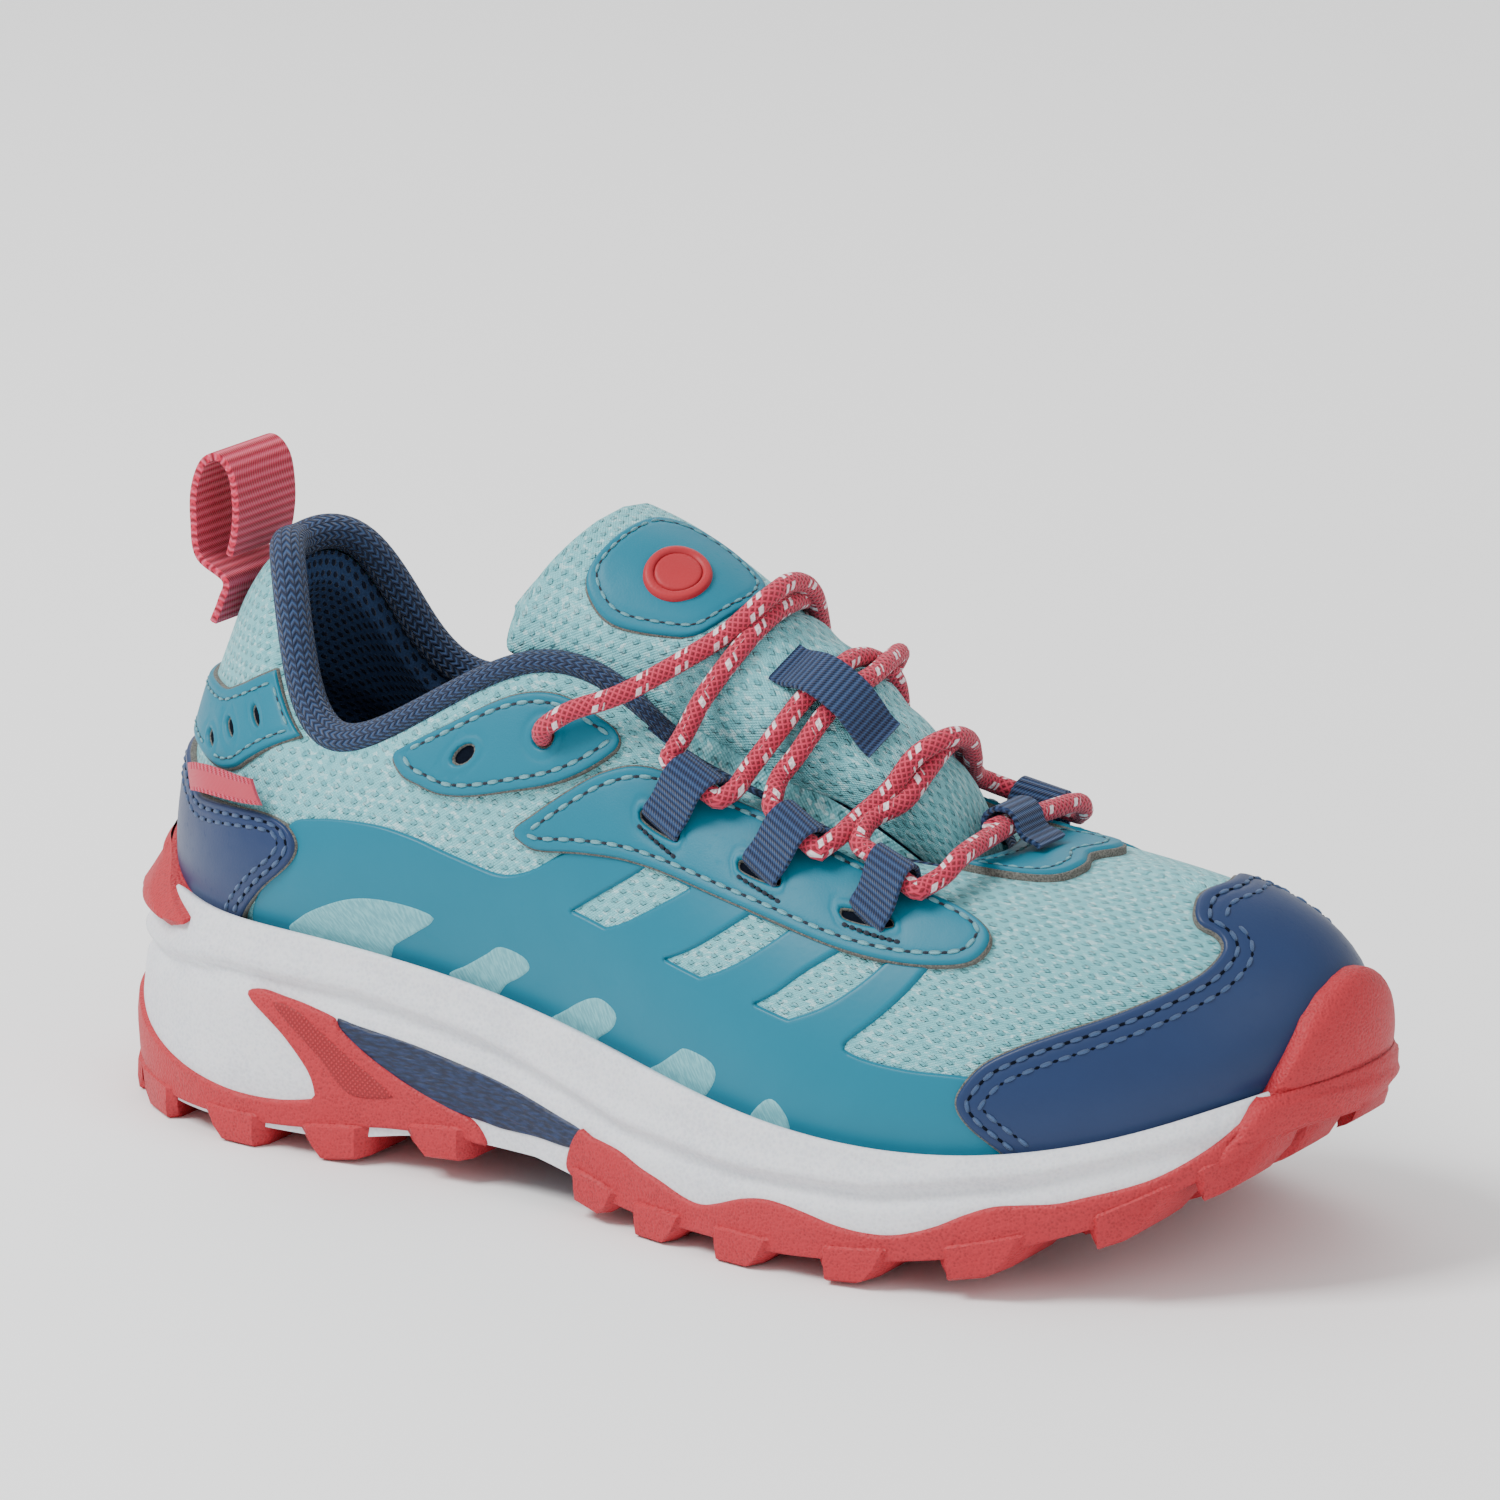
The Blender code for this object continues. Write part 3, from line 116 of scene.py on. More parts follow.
def closed(half):
    """A curve of half the shoe, and its mirror image, as one ring."""
    half = np.array(half, float)
    return np.vstack([half, half[-2:0:-1] * [1, -1, 1]])


def periodic_spline(keys, values, u, period=200.0):
    """A smooth closed cubic spline through values at the keys, read at u."""
    count = len(keys)
    gaps = np.diff(np.append(keys, keys[0] + period))
    matrix = np.zeros((count, count))
    right = np.zeros((count, values.shape[1]))
    for i in range(count):
        before, after, j = gaps[i - 1], gaps[i], (i + 1) % count
        matrix[i, i - 1] += before
        matrix[i, i] += 2 * (before + after)
        matrix[i, j] += after
        right[i] = 6 * ((values[j] - values[i]) / after - (values[i] - values[i - 1]) / before)
    bend = np.linalg.solve(matrix, right)
    u = np.mod(u, period)
    i = np.searchsorted(keys, u, side="right") - 1
    j = (i + 1) % count
    gap = gaps[i][..., None]
    x = (u - keys[i])[..., None]
    y = gap - x
    curve = (bend[i] * y ** 3 + bend[j] * x ** 3) / (6 * gap)
    return curve + (values[i] / gap - bend[i] * gap / 6) * y + (values[j] / gap - bend[j] * gap / 6) * x


HALF_KEYS = np.array(STATIONS, float)
KEYS = np.concatenate([HALF_KEYS, 200 - HALF_KEYS[-2:0:-1]])
CURVES = [closed(half) for half in (FEATHER, LOW, HIGH, TOPLINE)]


def right_foot(points):
    """Turns the symmetric drawing into a right shoe: outer side at -y, and the toe bent inwards."""
    points = np.array(points, float)
    x = points[..., 0]
    bend = TOE_BEND * np.clip((x - 150) / 85, 0, 1) ** 1.5 - WAIST_BEND * bump_at(x, 140, 35)
    points[..., 1] = bend - points[..., 1]
    return points


def upper(u, v):
    """Points on the outside of the upper."""
    u = np.asarray(u, float)
    t = np.asarray(v, float)[..., None] / 100
    feather, low, high, top = (periodic_spline(KEYS, curve, u) for curve in CURVES)
    rib = (1 - t) ** 3 * feather + 3 * (1 - t) ** 2 * t * low + 3 * (1 - t) * t * t * high + t ** 3 * top
    return right_foot(rib)


def interpolated(table, s):
    """Rows of (position, x, y, z), joined by a smooth curve."""
    table = np.array(table, float)
    keys, values = table[:, 0], table[:, 1:]
    slopes = np.gradient(values, keys, axis=0)
    s = np.clip(np.asarray(s, float), keys[0], keys[-1])
    i = np.clip(np.searchsorted(keys, s, side="right") - 1, 0, len(keys) - 2)
    gap = (keys[i + 1] - keys[i])[..., None]
    t = (s - keys[i])[..., None] / gap
    start = (1 + 2 * t) * (1 - t) ** 2 * values[i] + t * (1 - t) ** 2 * gap * slopes[i]
    return start + t * t * (3 - 2 * t) * values[i + 1] + t * t * (t - 1) * gap * slopes[i + 1]


def tongue(s, across):
    """Points on the tongue's underside: s from its base to its top, across from -1 (inner side) to 1."""
    edge = interpolated(TONGUE_EDGE, s)
    crown = interpolated(TONGUE_CROWN, s)
    angle = np.asarray(across, float)[..., None] * math.pi / 2
    rise = np.abs(np.cos(angle)) ** 0.85
    points = edge + (crown - edge) * rise
    points[..., 1] = edge[..., 1] * np.sin(angle)[..., 0]
    return right_foot(points)


def unit(vectors):
    return vectors / np.maximum(np.linalg.norm(vectors, axis=-1, keepdims=True), 1e-9)


def offset(surface, a, b, height):
    """Points a height above a surface, along its normal."""
    a, b, height = np.broadcast_arrays(np.asarray(a, float), np.asarray(b, float), np.asarray(height, float))
    step_a, step_b = (0.002, 0.004) if surface is tongue else (0.05, 0.2)
    along = surface(a + step_a, b) - surface(a - step_a, b)
    over = surface(a, b + step_b) - surface(a, b - step_b)
    return surface(a, b) + unit(np.cross(along, over)) * height[..., None]


def ease(x, start, end):
    """From 0 to 1 between the two places, smoothly."""
    t = np.clip((np.asarray(x, float) - start) / (end - start), 0, 1)
    return t * t * (3 - 2 * t)


def bump_at(x, middle, width):
    """A rounded bump, 1 high."""
    return np.exp(-((np.asarray(x, float) - middle) / width) ** 2)


def from_heel(u):
    """The distance round the shoe from the heel, the same on both sides."""
    u = np.mod(np.asarray(u, float), 200)
    return np.minimum(u, 200 - u)


def level(table, x):
    """Read off a table of (place, height)."""
    table = np.array(table, float)
    return np.interp(x, table[:, 0], table[:, 1])


def plan(u, out, z):
    """A point beside the feather edge: out millimetres outwards, at height z."""
    u = np.asarray(u, float)
    edge = upper(u, np.zeros_like(u))
    along = upper(u + 0.1, np.zeros_like(u)) - upper(u - 0.1, np.zeros_like(u))
    outward = unit(np.stack([along[..., 1], -along[..., 0]], axis=-1))
    point = edge.copy()
    point[..., :2] += outward * np.asarray(out)[..., None]
    point[..., 2] = z
    return point


def bulge(u, v):
    """How far the upper's surface stands out from the feather edge at this height of its rib."""
    edge, top = plan(u, 0 * u, 0), plan(u, 0 * u + 1, 0)
    return ((upper(u, 0 * u + v) - edge) * (top - edge))[..., :2].sum(axis=-1)


def lip_out(u):
    return bulge(u, LIP_V) + LIP_REACH


def lip_height(u):
    return upper(u, 0 * u + LIP_V)[..., 2] + LIP_RISE


def flare(u):
    w = from_heel(u)
    return (FLARE + HEEL_FLARE * (1 - ease(w, 12, 34))) * (1 - ease(w, 90, 95))


def ground_at(u):
    return level(GROUND, plan(u, lip_out(u), 0)[..., 0])


def sole(u, z):
    """Points on the midsole's outer wall: u as on the upper, z the height in millimetres."""
    u, z = np.broadcast_arrays(np.asarray(u, float), np.asarray(z, float))
    top, low = lip_height(u), ground_at(u) + LUG_DEPTH
    t = (top - z) / (top - low)
    share = np.interp(t, [-0.2, 0, 0.12, 0.4, 0.75, 1, 1.3], [-0.15, 0, 0.38, 0.75, 1, 0.9, 0.72])
    above = z - level(RIDGE, from_heel(u))
    ridge = 1.1 * bump_at(above, 1.2, 1.6) - 1.3 * bump_at(above, -1.8, 1.5)
    soft = 1 - ease(from_heel(u), 70, 92)
    return plan(u, lip_out(u) + flare(u) * share + ridge * (0.35 + 0.65 * soft), z)


# How many millimetres one step of each coordinate is, so that outlines can be filled in a plane.
SIZES = {upper: np.array([2.9, 0.7]), tongue: np.array([110.0, 28.0]), sole: np.array([2.9, 1.0])}


# ---------------------------------------------------------------- materials

class Finish:
    """One procedural material. Lengths are in millimetres, and colours are linear."""

    def __init__(self, name, roughness, specular=0.5, **settings):
        self.material = bpy.data.materials.new(name)
        self.material.use_nodes = True
        self.tree = self.material.node_tree
        self.shader = self.tree.nodes["Principled BSDF"]
        self.shader.inputs["Roughness"].default_value = roughness
        self.shader.inputs["Specular IOR Level"].default_value = specular
        for key, value in settings.items():
            self.shader.inputs[key.replace("_", " ")].default_value = value
        self.place = None
        self.flat = None

    def put(self, socket, value):
        if isinstance(value, bpy.types.NodeSocket):
            self.tree.links.new(value, socket)
        else:
            socket.default_value = value

    def node(self, kind, values=(), **settings):
        made = self.tree.nodes.new("ShaderNode" + kind)
        for key, value in settings.items():
            setattr(made, key, value)
        for key, value in dict(values).items():
            self.put(made.inputs[key], value)
        return made

    def spot(self):
        """Where the point lies on the object, for grain that needs no direction."""
        if self.place is None:
            self.place = self.node("TexCoord").outputs["Object"]
        return self.place

    def chart(self):
        """The piece's own two coordinates, in millimetres."""
        if self.flat is None:
            uv = self.node("UVMap", uv_map="UVMap").outputs["UV"]
            parts = self.node("SeparateXYZ", {"Vector": uv})
            self.flat = (parts.outputs["X"], parts.outputs["Y"])
        return self.flat

    def math(self, operation, a, b=0.0, c=0.0):
        made = self.node("Math", operation=operation)
        for socket, value in zip(made.inputs, (a, b, c)):
            self.put(socket, value)
        return made.outputs["Value"]

    def wave(self, x, length, phase=0.0):
        """From 0 to 1 and back over each length."""
        angle = self.math("MULTIPLY_ADD", x, 2 * math.pi / length, phase)
        return self.math("MULTIPLY_ADD", self.math("SINE", angle), 0.5, 0.5)

    def fade(self, x, low, high):
        made = self.node("MapRange", {"Value": x, "From Min": low, "From Max": high},
                         interpolation_type="SMOOTHSTEP")
        return made.outputs["Result"]

    def from_staggered(self, wide, high):
        """How far the point is from the middle of its cell, in staggered rows of cells."""
        x, y = self.chart()
        row = self.math("FLOOR", self.math("DIVIDE", y, high))
        shift = self.math("MULTIPLY", self.math("MODULO", self.math("ABSOLUTE", row), 2.0), 0.5)
        places = (self.math("ADD", self.math("DIVIDE", x, wide), shift), self.math("DIVIDE", y, high))
        steps = [self.math("SUBTRACT", self.math("FRACT", place), 0.5) for place in places]
        return self.math("SQRT", self.math("ADD", *(self.math("MULTIPLY", step, step) for step in steps)))

    def point(self, x, y, wide, high):
        """A chart point stretched so that one unit is wide by high millimetres."""
        x, y = self.math("DIVIDE", x, wide), self.math("DIVIDE", y, high)
        return self.node("CombineXYZ", {"X": x, "Y": y}).outputs["Vector"]

    def grain(self, kind, size, where, output, **values):
        """A texture whose grain is size millimetres on the object, or size units of a chart point."""
        values["Scale"] = 1000 / size if where is None else 1 / size
        values["Vector"] = self.spot() if where is None else where
        return self.node(kind, values).outputs[output]

    def noise(self, size, detail=2.0, where=None):
        return self.grain("TexNoise", size, where, "Fac", Detail=detail, Roughness=0.5)

    def cells(self, size, where=None, output="Distance"):
        return self.grain("TexVoronoi", size, where, output)

    def mix(self, share, a, b):
        made = self.node("Mix", data_type="RGBA")
        self.put(made.inputs["Factor"], share)
        for socket, value in zip([s for s in made.inputs if s.type == "RGBA"], (a, b)):
            self.put(socket, (*value, 1) if isinstance(value, tuple) else value)
        return [s for s in made.outputs if s.type == "RGBA"][0]

    def colour(self, value):
        self.put(self.shader.inputs["Base Color"], (*value, 1) if isinstance(value, tuple) else value)
        return self

    def rough(self, value):
        self.put(self.shader.inputs["Roughness"], value)
        return self

    def bump(self, *layers):
        """Layers of (height, depth in millimetres), added one on another."""
        normal = None
        for height, depth in layers:
            made = self.node("Bump", {"Height": height, "Distance": depth * MM, "Strength": 1.0})
            if normal is not None:
                self.put(made.inputs["Normal"], normal)
            normal = made.outputs["Normal"]
        self.put(self.shader.inputs["Normal"], normal)
        return self


AQUA, AQUA_DARK, AQUA_LIGHT = (0.19, 0.53, 0.57), (0.05, 0.28, 0.33), (0.60, 0.82, 0.84)
TEAL, TEAL_DEEP = (0.0, 0.155, 0.235), (0.0, 0.13, 0.2)
NAVY, NAVY_DEEP, NAVY_LIGHT = (0.009, 0.026, 0.085), (0.003, 0.008, 0.028), (0.035, 0.08, 0.185)
CORAL, CORAL_DEEP = (0.42, 0.02, 0.03), (0.25, 0.009, 0.014)
WHITE, WHITE_SHADE = (0.72, 0.735, 0.77), (0.58, 0.60, 0.65)
PINK, PINK_DEEP, PINK_LIGHT = (0.52, 0.018, 0.055), (0.24, 0.006, 0.02), (0.66, 0.10, 0.17)
FELT, FELT_DARK = (0.17, 0.165, 0.145), (0.06, 0.06, 0.055)
PALE_THREAD, INLAY = (0.20, 0.50, 0.57), (0.10, 0.33, 0.38)


def weave(f, wide, high, phase=0.0):
    """Small interlaced yarns, from 0 to 1."""
    x, y = f.chart()
    return f.math("MULTIPLY", f.wave(x, wide, phase), f.wave(y, high, phase))


def jacquard():
    """Shiny aqua cloth pressed into small staggered cells, with painted glints as pale flecks and painted
    shade between the yarns and in the cells.
    """
    f = Finish("aqua_jacquard", 0.55, 0.45, Sheen_Weight=0.1, Sheen_Roughness=0.4)
    x, y = f.chart()
    yarn = f.math("MAXIMUM", weave(f, 0.8, 0.55), weave(f, 0.8, 0.55, 3.14))
    fleck = f.cells(1.0, f.point(x, y, 0.9, 0.5), "Color")
    # Painted glints: pale flecks of the lighter aqua that stand in for the shiny yarn's glitter; they are
    # also made less rough.
    painted_glints = f.fade(fleck, 0.62, 0.9)
    dark = f.fade(fleck, 0.34, 0.12)
    holes = f.fade(f.from_staggered(2.9, 1.9), 0.34, 0.12)
    base = f.mix(f.math("MULTIPLY", dark, 0.4), AQUA, AQUA_DARK)
    # Painted shade between the yarns, darker where the weave dips.
    base = f.mix(f.math("MULTIPLY", f.math("SUBTRACT", 1.0, yarn), 0.3), base, AQUA_DARK)
    base = f.mix(f.math("MULTIPLY", painted_glints, 0.5), base, AQUA_LIGHT)
    # Painted shade in the pressed cells.
    base = f.mix(f.math("MULTIPLY", holes, 0.45), base, AQUA_DARK)
    f.colour(base).rough(f.math("MULTIPLY_ADD", painted_glints, -0.25, 0.6))
    f.bump((yarn, 0.13), (f.math("SUBTRACT", 1.0, holes), 0.38))
    return f.material


def spacer_mesh():
    f = Finish("navy_spacer_mesh", 0.85, 0.3, Sheen_Weight=0.12)
    hole = f.fade(f.from_staggered(2.4, 1.6), 0.34, 0.2)
    thread = f.noise(0.35, 2)
    # Painted shade: the mesh's holes turn the deep navy.
    f.colour(f.mix(hole, f.mix(thread, NAVY, NAVY_LIGHT), NAVY_DEEP))
    f.bump((f.math("SUBTRACT", 1.0, hole), 0.5), (thread, 0.12))
    return f.material


def knit(name, base, light, deep, wale=1.7, course=1.5):
    """Rows of V-shaped stitches, with a painted highlight on the raised stitches and painted shade in the
    grooves between them.
    """
    f = Finish(name, 0.8, 0.35, Sheen_Weight=0.12)
    x, y = f.chart()
    side = f.math("ABSOLUTE", f.math("SUBTRACT", f.math("FRACT", f.math("DIVIDE", y, wale)), 0.5))
    leg = f.wave(f.math("MULTIPLY_ADD", side, 2.2, x), course)
    groove = f.fade(side, 0.0, 0.12)
    fibre = f.noise(0.25, 2)
    height = f.math("MULTIPLY", leg, groove)
    # Painted highlight: the raised parts of the stitches turn the lighter colour.
    lit_stitch_tops = f.mix(f.fade(height, 0.5, 0.95), base, light)
    # Painted shade: the low parts between the stitches turn the deep colour.
    f.colour(f.mix(f.fade(height, 0.3, 0.0), f.mix(f.math("MULTIPLY", fibre, 0.4), lit_stitch_tops, base), deep))
    f.bump((height, 0.4), (fibre, 0.08))
    return f.material


def synthetic(name, base, deep, roughness, grain=0.5, depth=0.03, **settings):
    """A smooth coated piece with a fine grain, a little lighter and duller in places."""
    f = Finish(name, roughness, 0.32, **settings)
    cloud = f.noise(9.0, 3)
    fine = f.noise(grain, 3)
    scuffs = f.fade(f.noise(1.6, 4), 0.58, 0.72)
    f.colour(f.mix(f.math("MULTIPLY", cloud, 0.55), base, deep))
    f.rough(f.math("MULTIPLY_ADD", scuffs, 0.08, f.math("MULTIPLY_ADD", cloud, 0.12, roughness - 0.06)))
    f.bump((fine, depth), (cloud, 0.1))
    return f.material


def translucent_inlay():
    """The film where it lets the pale cloth under it show, with short slanted fibres."""
    f = Finish("pale_inlay", 0.5, 0.4)
    x, y = f.chart()
    slanted = f.math("MULTIPLY_ADD", y, 0.45, x)
    fibre = f.noise(1.0, 3, f.point(slanted, y, 0.5, 2.4))
    f.colour(f.mix(f.fade(fibre, 0.38, 0.66), INLAY, (0.17, 0.46, 0.50)))
    f.bump((fibre, 0.05))
    return f.material


def felt():
    f = Finish("cut_edge_felt", 0.95, 0.2, Sheen_Weight=0.1)
    fuzz = f.noise(0.3, 3)
    f.colour(f.mix(f.fade(fuzz, 0.3, 0.7), FELT_DARK, FELT)).bump((fuzz, 0.2))
    return f.material


def dark_hole():
    """The shade inside a hole, faintly woven."""
    f = Finish("hole_shade", 0.95, 0.05)
    fuzz = f.noise(0.4, 2)
    f.colour(f.mix(fuzz, (0.002, 0.003, 0.006), (0.006, 0.009, 0.018))).bump((fuzz, 0.05))
    return f.material


def thread(name, base, deep):
    f = Finish(name, 0.6, 0.4, Sheen_Weight=0.12)
    x, y = f.chart()
    twist = f.wave(f.math("MULTIPLY_ADD", y, 1.0, x), 0.45)
    f.colour(f.mix(twist, deep, base)).bump((twist, 0.06))
    return f.material


def rubber(name, base, deep, grain, depth, roughness=0.6):
    f = Finish(name, roughness, 0.4)
    pits = f.cells(grain)
    fine = f.noise(grain * 0.8, 3)
    cloud = f.noise(7.0, 3)
    height = f.math("MULTIPLY_ADD", fine, 0.6, pits)
    f.colour(f.mix(f.fade(f.math("MULTIPLY_ADD", cloud, 0.5, height), 1.15, 0.35), base, deep))
    f.rough(f.math("MULTIPLY_ADD", cloud, 0.2, roughness - 0.1)).bump((height, depth))
    return f.material


def foam():
    f = Finish("moulded_foam", 0.62, 0.35, Subsurface_Weight=0.06, Subsurface_Scale=0.002)
    skin = f.cells(0.75)
    fine = f.noise(0.4, 3)
    cloud = f.noise(14.0, 3)
    height = f.math("MULTIPLY_ADD", fine, 0.7, skin)
    f.colour(f.mix(f.fade(f.math("MULTIPLY_ADD", cloud, 0.6, f.math("MULTIPLY", height, 0.35)), 0.75, 0.3),
                   WHITE, WHITE_SHADE))
    f.rough(f.math("MULTIPLY_ADD", cloud, 0.15, 0.55)).bump((height, 0.07), (cloud, 0.25))
    return f.material


def textured_plate():
    """A moulded plate with a fine texture of short strokes along the shoe."""
    f = Finish("arch_plate_texture", 0.5, 0.45)
    x, y = f.chart()
    strokes = f.noise(1.0, 3, f.point(x, y, 2.2, 0.5))
    steps = f.wave(f.math("MULTIPLY_ADD", x, 0.25, y), 1.6)
    f.colour(f.mix(f.fade(strokes, 0.35, 0.7), NAVY_DEEP, NAVY)).bump((strokes, 0.22), (steps, 0.1))
    return f.material


def dotted_rubber():
    f = Finish("dotted_rubber_panel", 0.6, 0.4)
    x, y = f.chart()
    dots = f.math("MULTIPLY", f.wave(f.math("ADD", x, y), 1.0), f.wave(f.math("SUBTRACT", x, y), 1.0))
    fine = f.noise(0.4, 2)
    f.colour(f.mix(f.fade(dots, 0.25, 0.75), CORAL_DEEP, CORAL)).bump((dots, 0.12), (fine, 0.05))
    return f.material


def webbing(name, base, light, deep, rib):
    """Ribbed webbing: ribs across its length, each of small slanted yarns."""
    f = Finish(name, 0.75, 0.3, Sheen_Weight=0.12)
    x, y = f.chart()
    ribs = f.wave(x, rib)
    yarn = f.wave(f.math("MULTIPLY_ADD", x, 0.6, y), 0.55)
    fibre = f.noise(0.2, 2)
    height = f.math("MULTIPLY_ADD", yarn, 0.35, f.math("MULTIPLY", ribs, 0.65))
    # Painted highlight on the raised ribs and yarns, then painted shade where they dip.
    shade = f.mix(f.fade(height, 0.45, 0.85), base, light)
    f.colour(f.mix(f.fade(height, 0.35, 0.1), f.mix(f.math("MULTIPLY", fibre, 0.3), shade, base), deep))
    f.bump((ribs, 0.28), (yarn, 0.1))
    return f.material


def braid():
    """The lace: a round braid, with pairs of pale flecks about 8 mm apart."""
    f = Finish("lace_braid", 0.7, 0.35, Sheen_Weight=0.12)
    x, y = f.chart()
    right = f.wave(f.math("MULTIPLY_ADD", y, 0.9, x), 1.25)
    left = f.wave(f.math("MULTIPLY_ADD", y, -0.9, x), 1.25)
    height = f.math("MAXIMUM", right, left)
    fibre = f.noise(0.2, 2)
    step = f.math("FRACT", f.math("DIVIDE", f.math("MULTIPLY_ADD", y, 0.45, x), 7.8))
    near = f.fade(f.math("ABSOLUTE", f.math("SUBTRACT", step, 0.5)), 0.2, 0.15)
    pair = f.math("MULTIPLY", f.fade(f.wave(f.math("MULTIPLY_ADD", y, 0.5, x), 1.9), 0.3, 0.5),
                  f.fade(f.wave(y, 2.75), 0.35, 0.55))
    pale = f.math("MULTIPLY", near, pair)
    yarn = f.mix(f.math("MULTIPLY", fibre, 0.35), PINK, PINK_LIGHT)
    shade = f.mix(f.fade(height, 0.9, 0.5), yarn, PINK_DEEP)
    f.colour(f.mix(f.math("MULTIPLY", pale, 0.9), shade, (0.84, 0.74, 0.78)))
    f.bump((height, 0.22), (fibre, 0.05))
    return f.material


def satin_label():
    f = Finish("label_satin", 0.5, 0.4, Sheen_Weight=0.12)
    ribs = weave(f, 0.5, 0.4)
    f.colour(f.mix(f.math("MULTIPLY", ribs, 0.5), PINK, PINK_DEEP)).bump((ribs, 0.08))
    return f.material


def tip_plastic():
    f = Finish("aglet_plastic", 0.25, 0.5)
    lines = f.noise(0.8, 2)
    f.colour(f.mix(lines, (0.32, 0.30, 0.31), (0.45, 0.20, 0.24))).bump((lines, 0.05))
    return f.material


def floor_finish():
    f = Finish("pale_floor", 0.9, 0.1)
    cloud = f.noise(400.0, 2)
    f.colour(f.mix(cloud, (0.93, 0.93, 0.93), (0.95, 0.95, 0.95)))
    return f.material


CLOTH, MESH, KNIT = jacquard(), spacer_mesh(), knit("navy_knit", NAVY, NAVY_LIGHT, NAVY_DEEP)
FILM_SKIN = synthetic("teal_film", TEAL, TEAL_DEEP, 0.42, 1.2, 0.02)
OVERLAY = synthetic("teal_overlay", TEAL, TEAL_DEEP, 0.5, 0.35, 0.035)
NAVY_SKIN = synthetic("navy_overlay", (0.011, 0.031, 0.10), (0.007, 0.021, 0.07), 0.42, 0.45, 0.025)
EMBLEM_SKIN = synthetic("coral_emblem", CORAL, CORAL_DEEP, 0.5, 0.4, 0.05)
INLAY_SKIN, EDGE = translucent_inlay(), felt()
PALE = thread("pale_thread", PALE_THREAD, (0.10, 0.33, 0.39))
DARK = thread("dark_thread", (0.006, 0.018, 0.05), (0.002, 0.006, 0.018))
STEEL = thread("steel_thread", (0.075, 0.16, 0.34), (0.02, 0.045, 0.12))
HOLE = dark_hole()
CORAL_RUBBER = rubber("coral_rubber", CORAL, CORAL_DEEP, 0.55, 0.16)
NAVY_RUBBER, DOTTED = textured_plate(), dotted_rubber()
FOAM, NAVY_WEBBING = foam(), webbing("navy_webbing", NAVY, NAVY_LIGHT, NAVY_DEEP, 1.15)
PINK_WEBBING = webbing("pink_webbing", PINK, PINK_LIGHT, PINK_DEEP, 1.5)
BRAID, LABEL, TIP = braid(), satin_label(), tip_plastic()
INSOLE_CLOTH = webbing("insole_cloth", NAVY, NAVY_LIGHT, NAVY_DEEP, 1.0)


# ---------------------------------------------------------------- meshes

def build(name, points, faces, materials, body="shoe", nodes=(), chart=None, slots=None, sharp=None,
          bend=None):
    """A piece from points in the drawing's millimetres. chart holds two coordinates for each face corner."""
    mesh = bpy.data.meshes.new(name)
    mesh.from_pydata(((np.asarray(points) - ORIGIN) * MM).tolist(), [], [tuple(map(int, f)) for f in faces])
    for material in materials:
        mesh.materials.append(material)
    if slots is not None:
        mesh.polygons.foreach_set("material_index", np.asarray(slots, np.int32))
    if chart is not None:
        layer = mesh.uv_layers.new(name="UVMap")
        layer.data.foreach_set("uv", np.asarray(chart, np.float32).ravel())
    mesh.shade_smooth()
    if sharp:
        mesh.set_sharp_from_angle(angle=math.radians(sharp))
    obj = bpy.data.objects.new(name, mesh)
    bpy.context.scene.collection.objects.link(obj)
    if bend:
        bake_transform(obj)
    else:
        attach(obj, body)
    if nodes:
        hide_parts(*nodes)
    return obj


def grid(points, closed_rows=False, closed_columns=False):
    """Faces over rows of points, and the (row, column) of each face corner, counted on past a join."""
    rows, columns = points.shape[:2]
    faces, corners = [], []
    for i in range(rows if closed_rows else rows - 1):
        for j in range(columns if closed_columns else columns - 1):
            square = [(i, j), (i, j + 1), (i + 1, j + 1), (i + 1, j)]
            faces.append([a % rows * columns + b % columns for a, b in square])
            corners += square
    return faces, np.array(corners)


def read_chart(corners, xs, ys):
    """Chart coordinates of the corners, from one value for each row and one for each column."""
    return np.stack([np.asarray(xs)[corners[:, 0]], np.asarray(ys)[corners[:, 1]]], axis=-1)


def flipped(faces, corners):
    """The same squares facing the other way."""
    order = np.arange(len(corners)).reshape(-1, 4)[:, ::-1].ravel()
    return [face[::-1] for face in faces], corners[order]


def catmull_rom(before, start, end, after, t):
    """The smooth curve from start to end, read at t from 0 to 1."""
    return 0.5 * (2 * start + (end - before) * t + (2 * before - 5 * start + 4 * end - after) * t ** 2
                  + (3 * start - before - 3 * end + after) * t ** 3)


def smooth_outline(surface, corners, step):
    """A closed smooth curve, in millimetres in the surface's plane; a point given twice is a sharp corner."""
    p, size = np.array(corners, float), SIZES[surface]
    out = []
    for i in range(len(p)):
        around = [p[(i + k) % len(p)] for k in (-1, 0, 1, 2)]
        length = np.hypot(*((around[2] - around[1]) * size))
        if length < 1e-6:
            continue
        t = np.linspace(0, 1, max(1, round(length / step)), endpoint=False)[:, None]
        out.append(catmull_rom(*around, t))
    return np.vstack(out) * size


def mirrored(outline):
    """The same outline on the shoe's other side."""
    return [(200 - u, v) for u, v in reversed(outline)]


def inside(points, loop):
    """Which of the points lie inside a closed loop."""
    x, y = points[:, 0][:, None], points[:, 1][:, None]
    x0, y0 = loop[:, 0][None], loop[:, 1][None]
    x1, y1 = np.roll(loop[:, 0], -1)[None], np.roll(loop[:, 1], -1)[None]
    crosses = (y0 > y) != (y1 > y)
    slope = (x1 - x0) / np.where(y1 == y0, 1, y1 - y0)
    return (crosses & (x < x0 + (y - y0) * slope)).sum(axis=1) % 2 == 1


def outwards(loop):
    """Unit steps away from a closed loop, in its plane."""
    along = unit(np.roll(loop, -1, axis=0) - np.roll(loop, 1, axis=0))
    area = (loop[:, 0] * np.roll(loop[:, 1], -1) - loop[:, 1] * np.roll(loop[:, 0], -1)).sum()
    away = np.stack([along[:, 1], -along[:, 0]], axis=-1)
    return away if area > 0 else -away


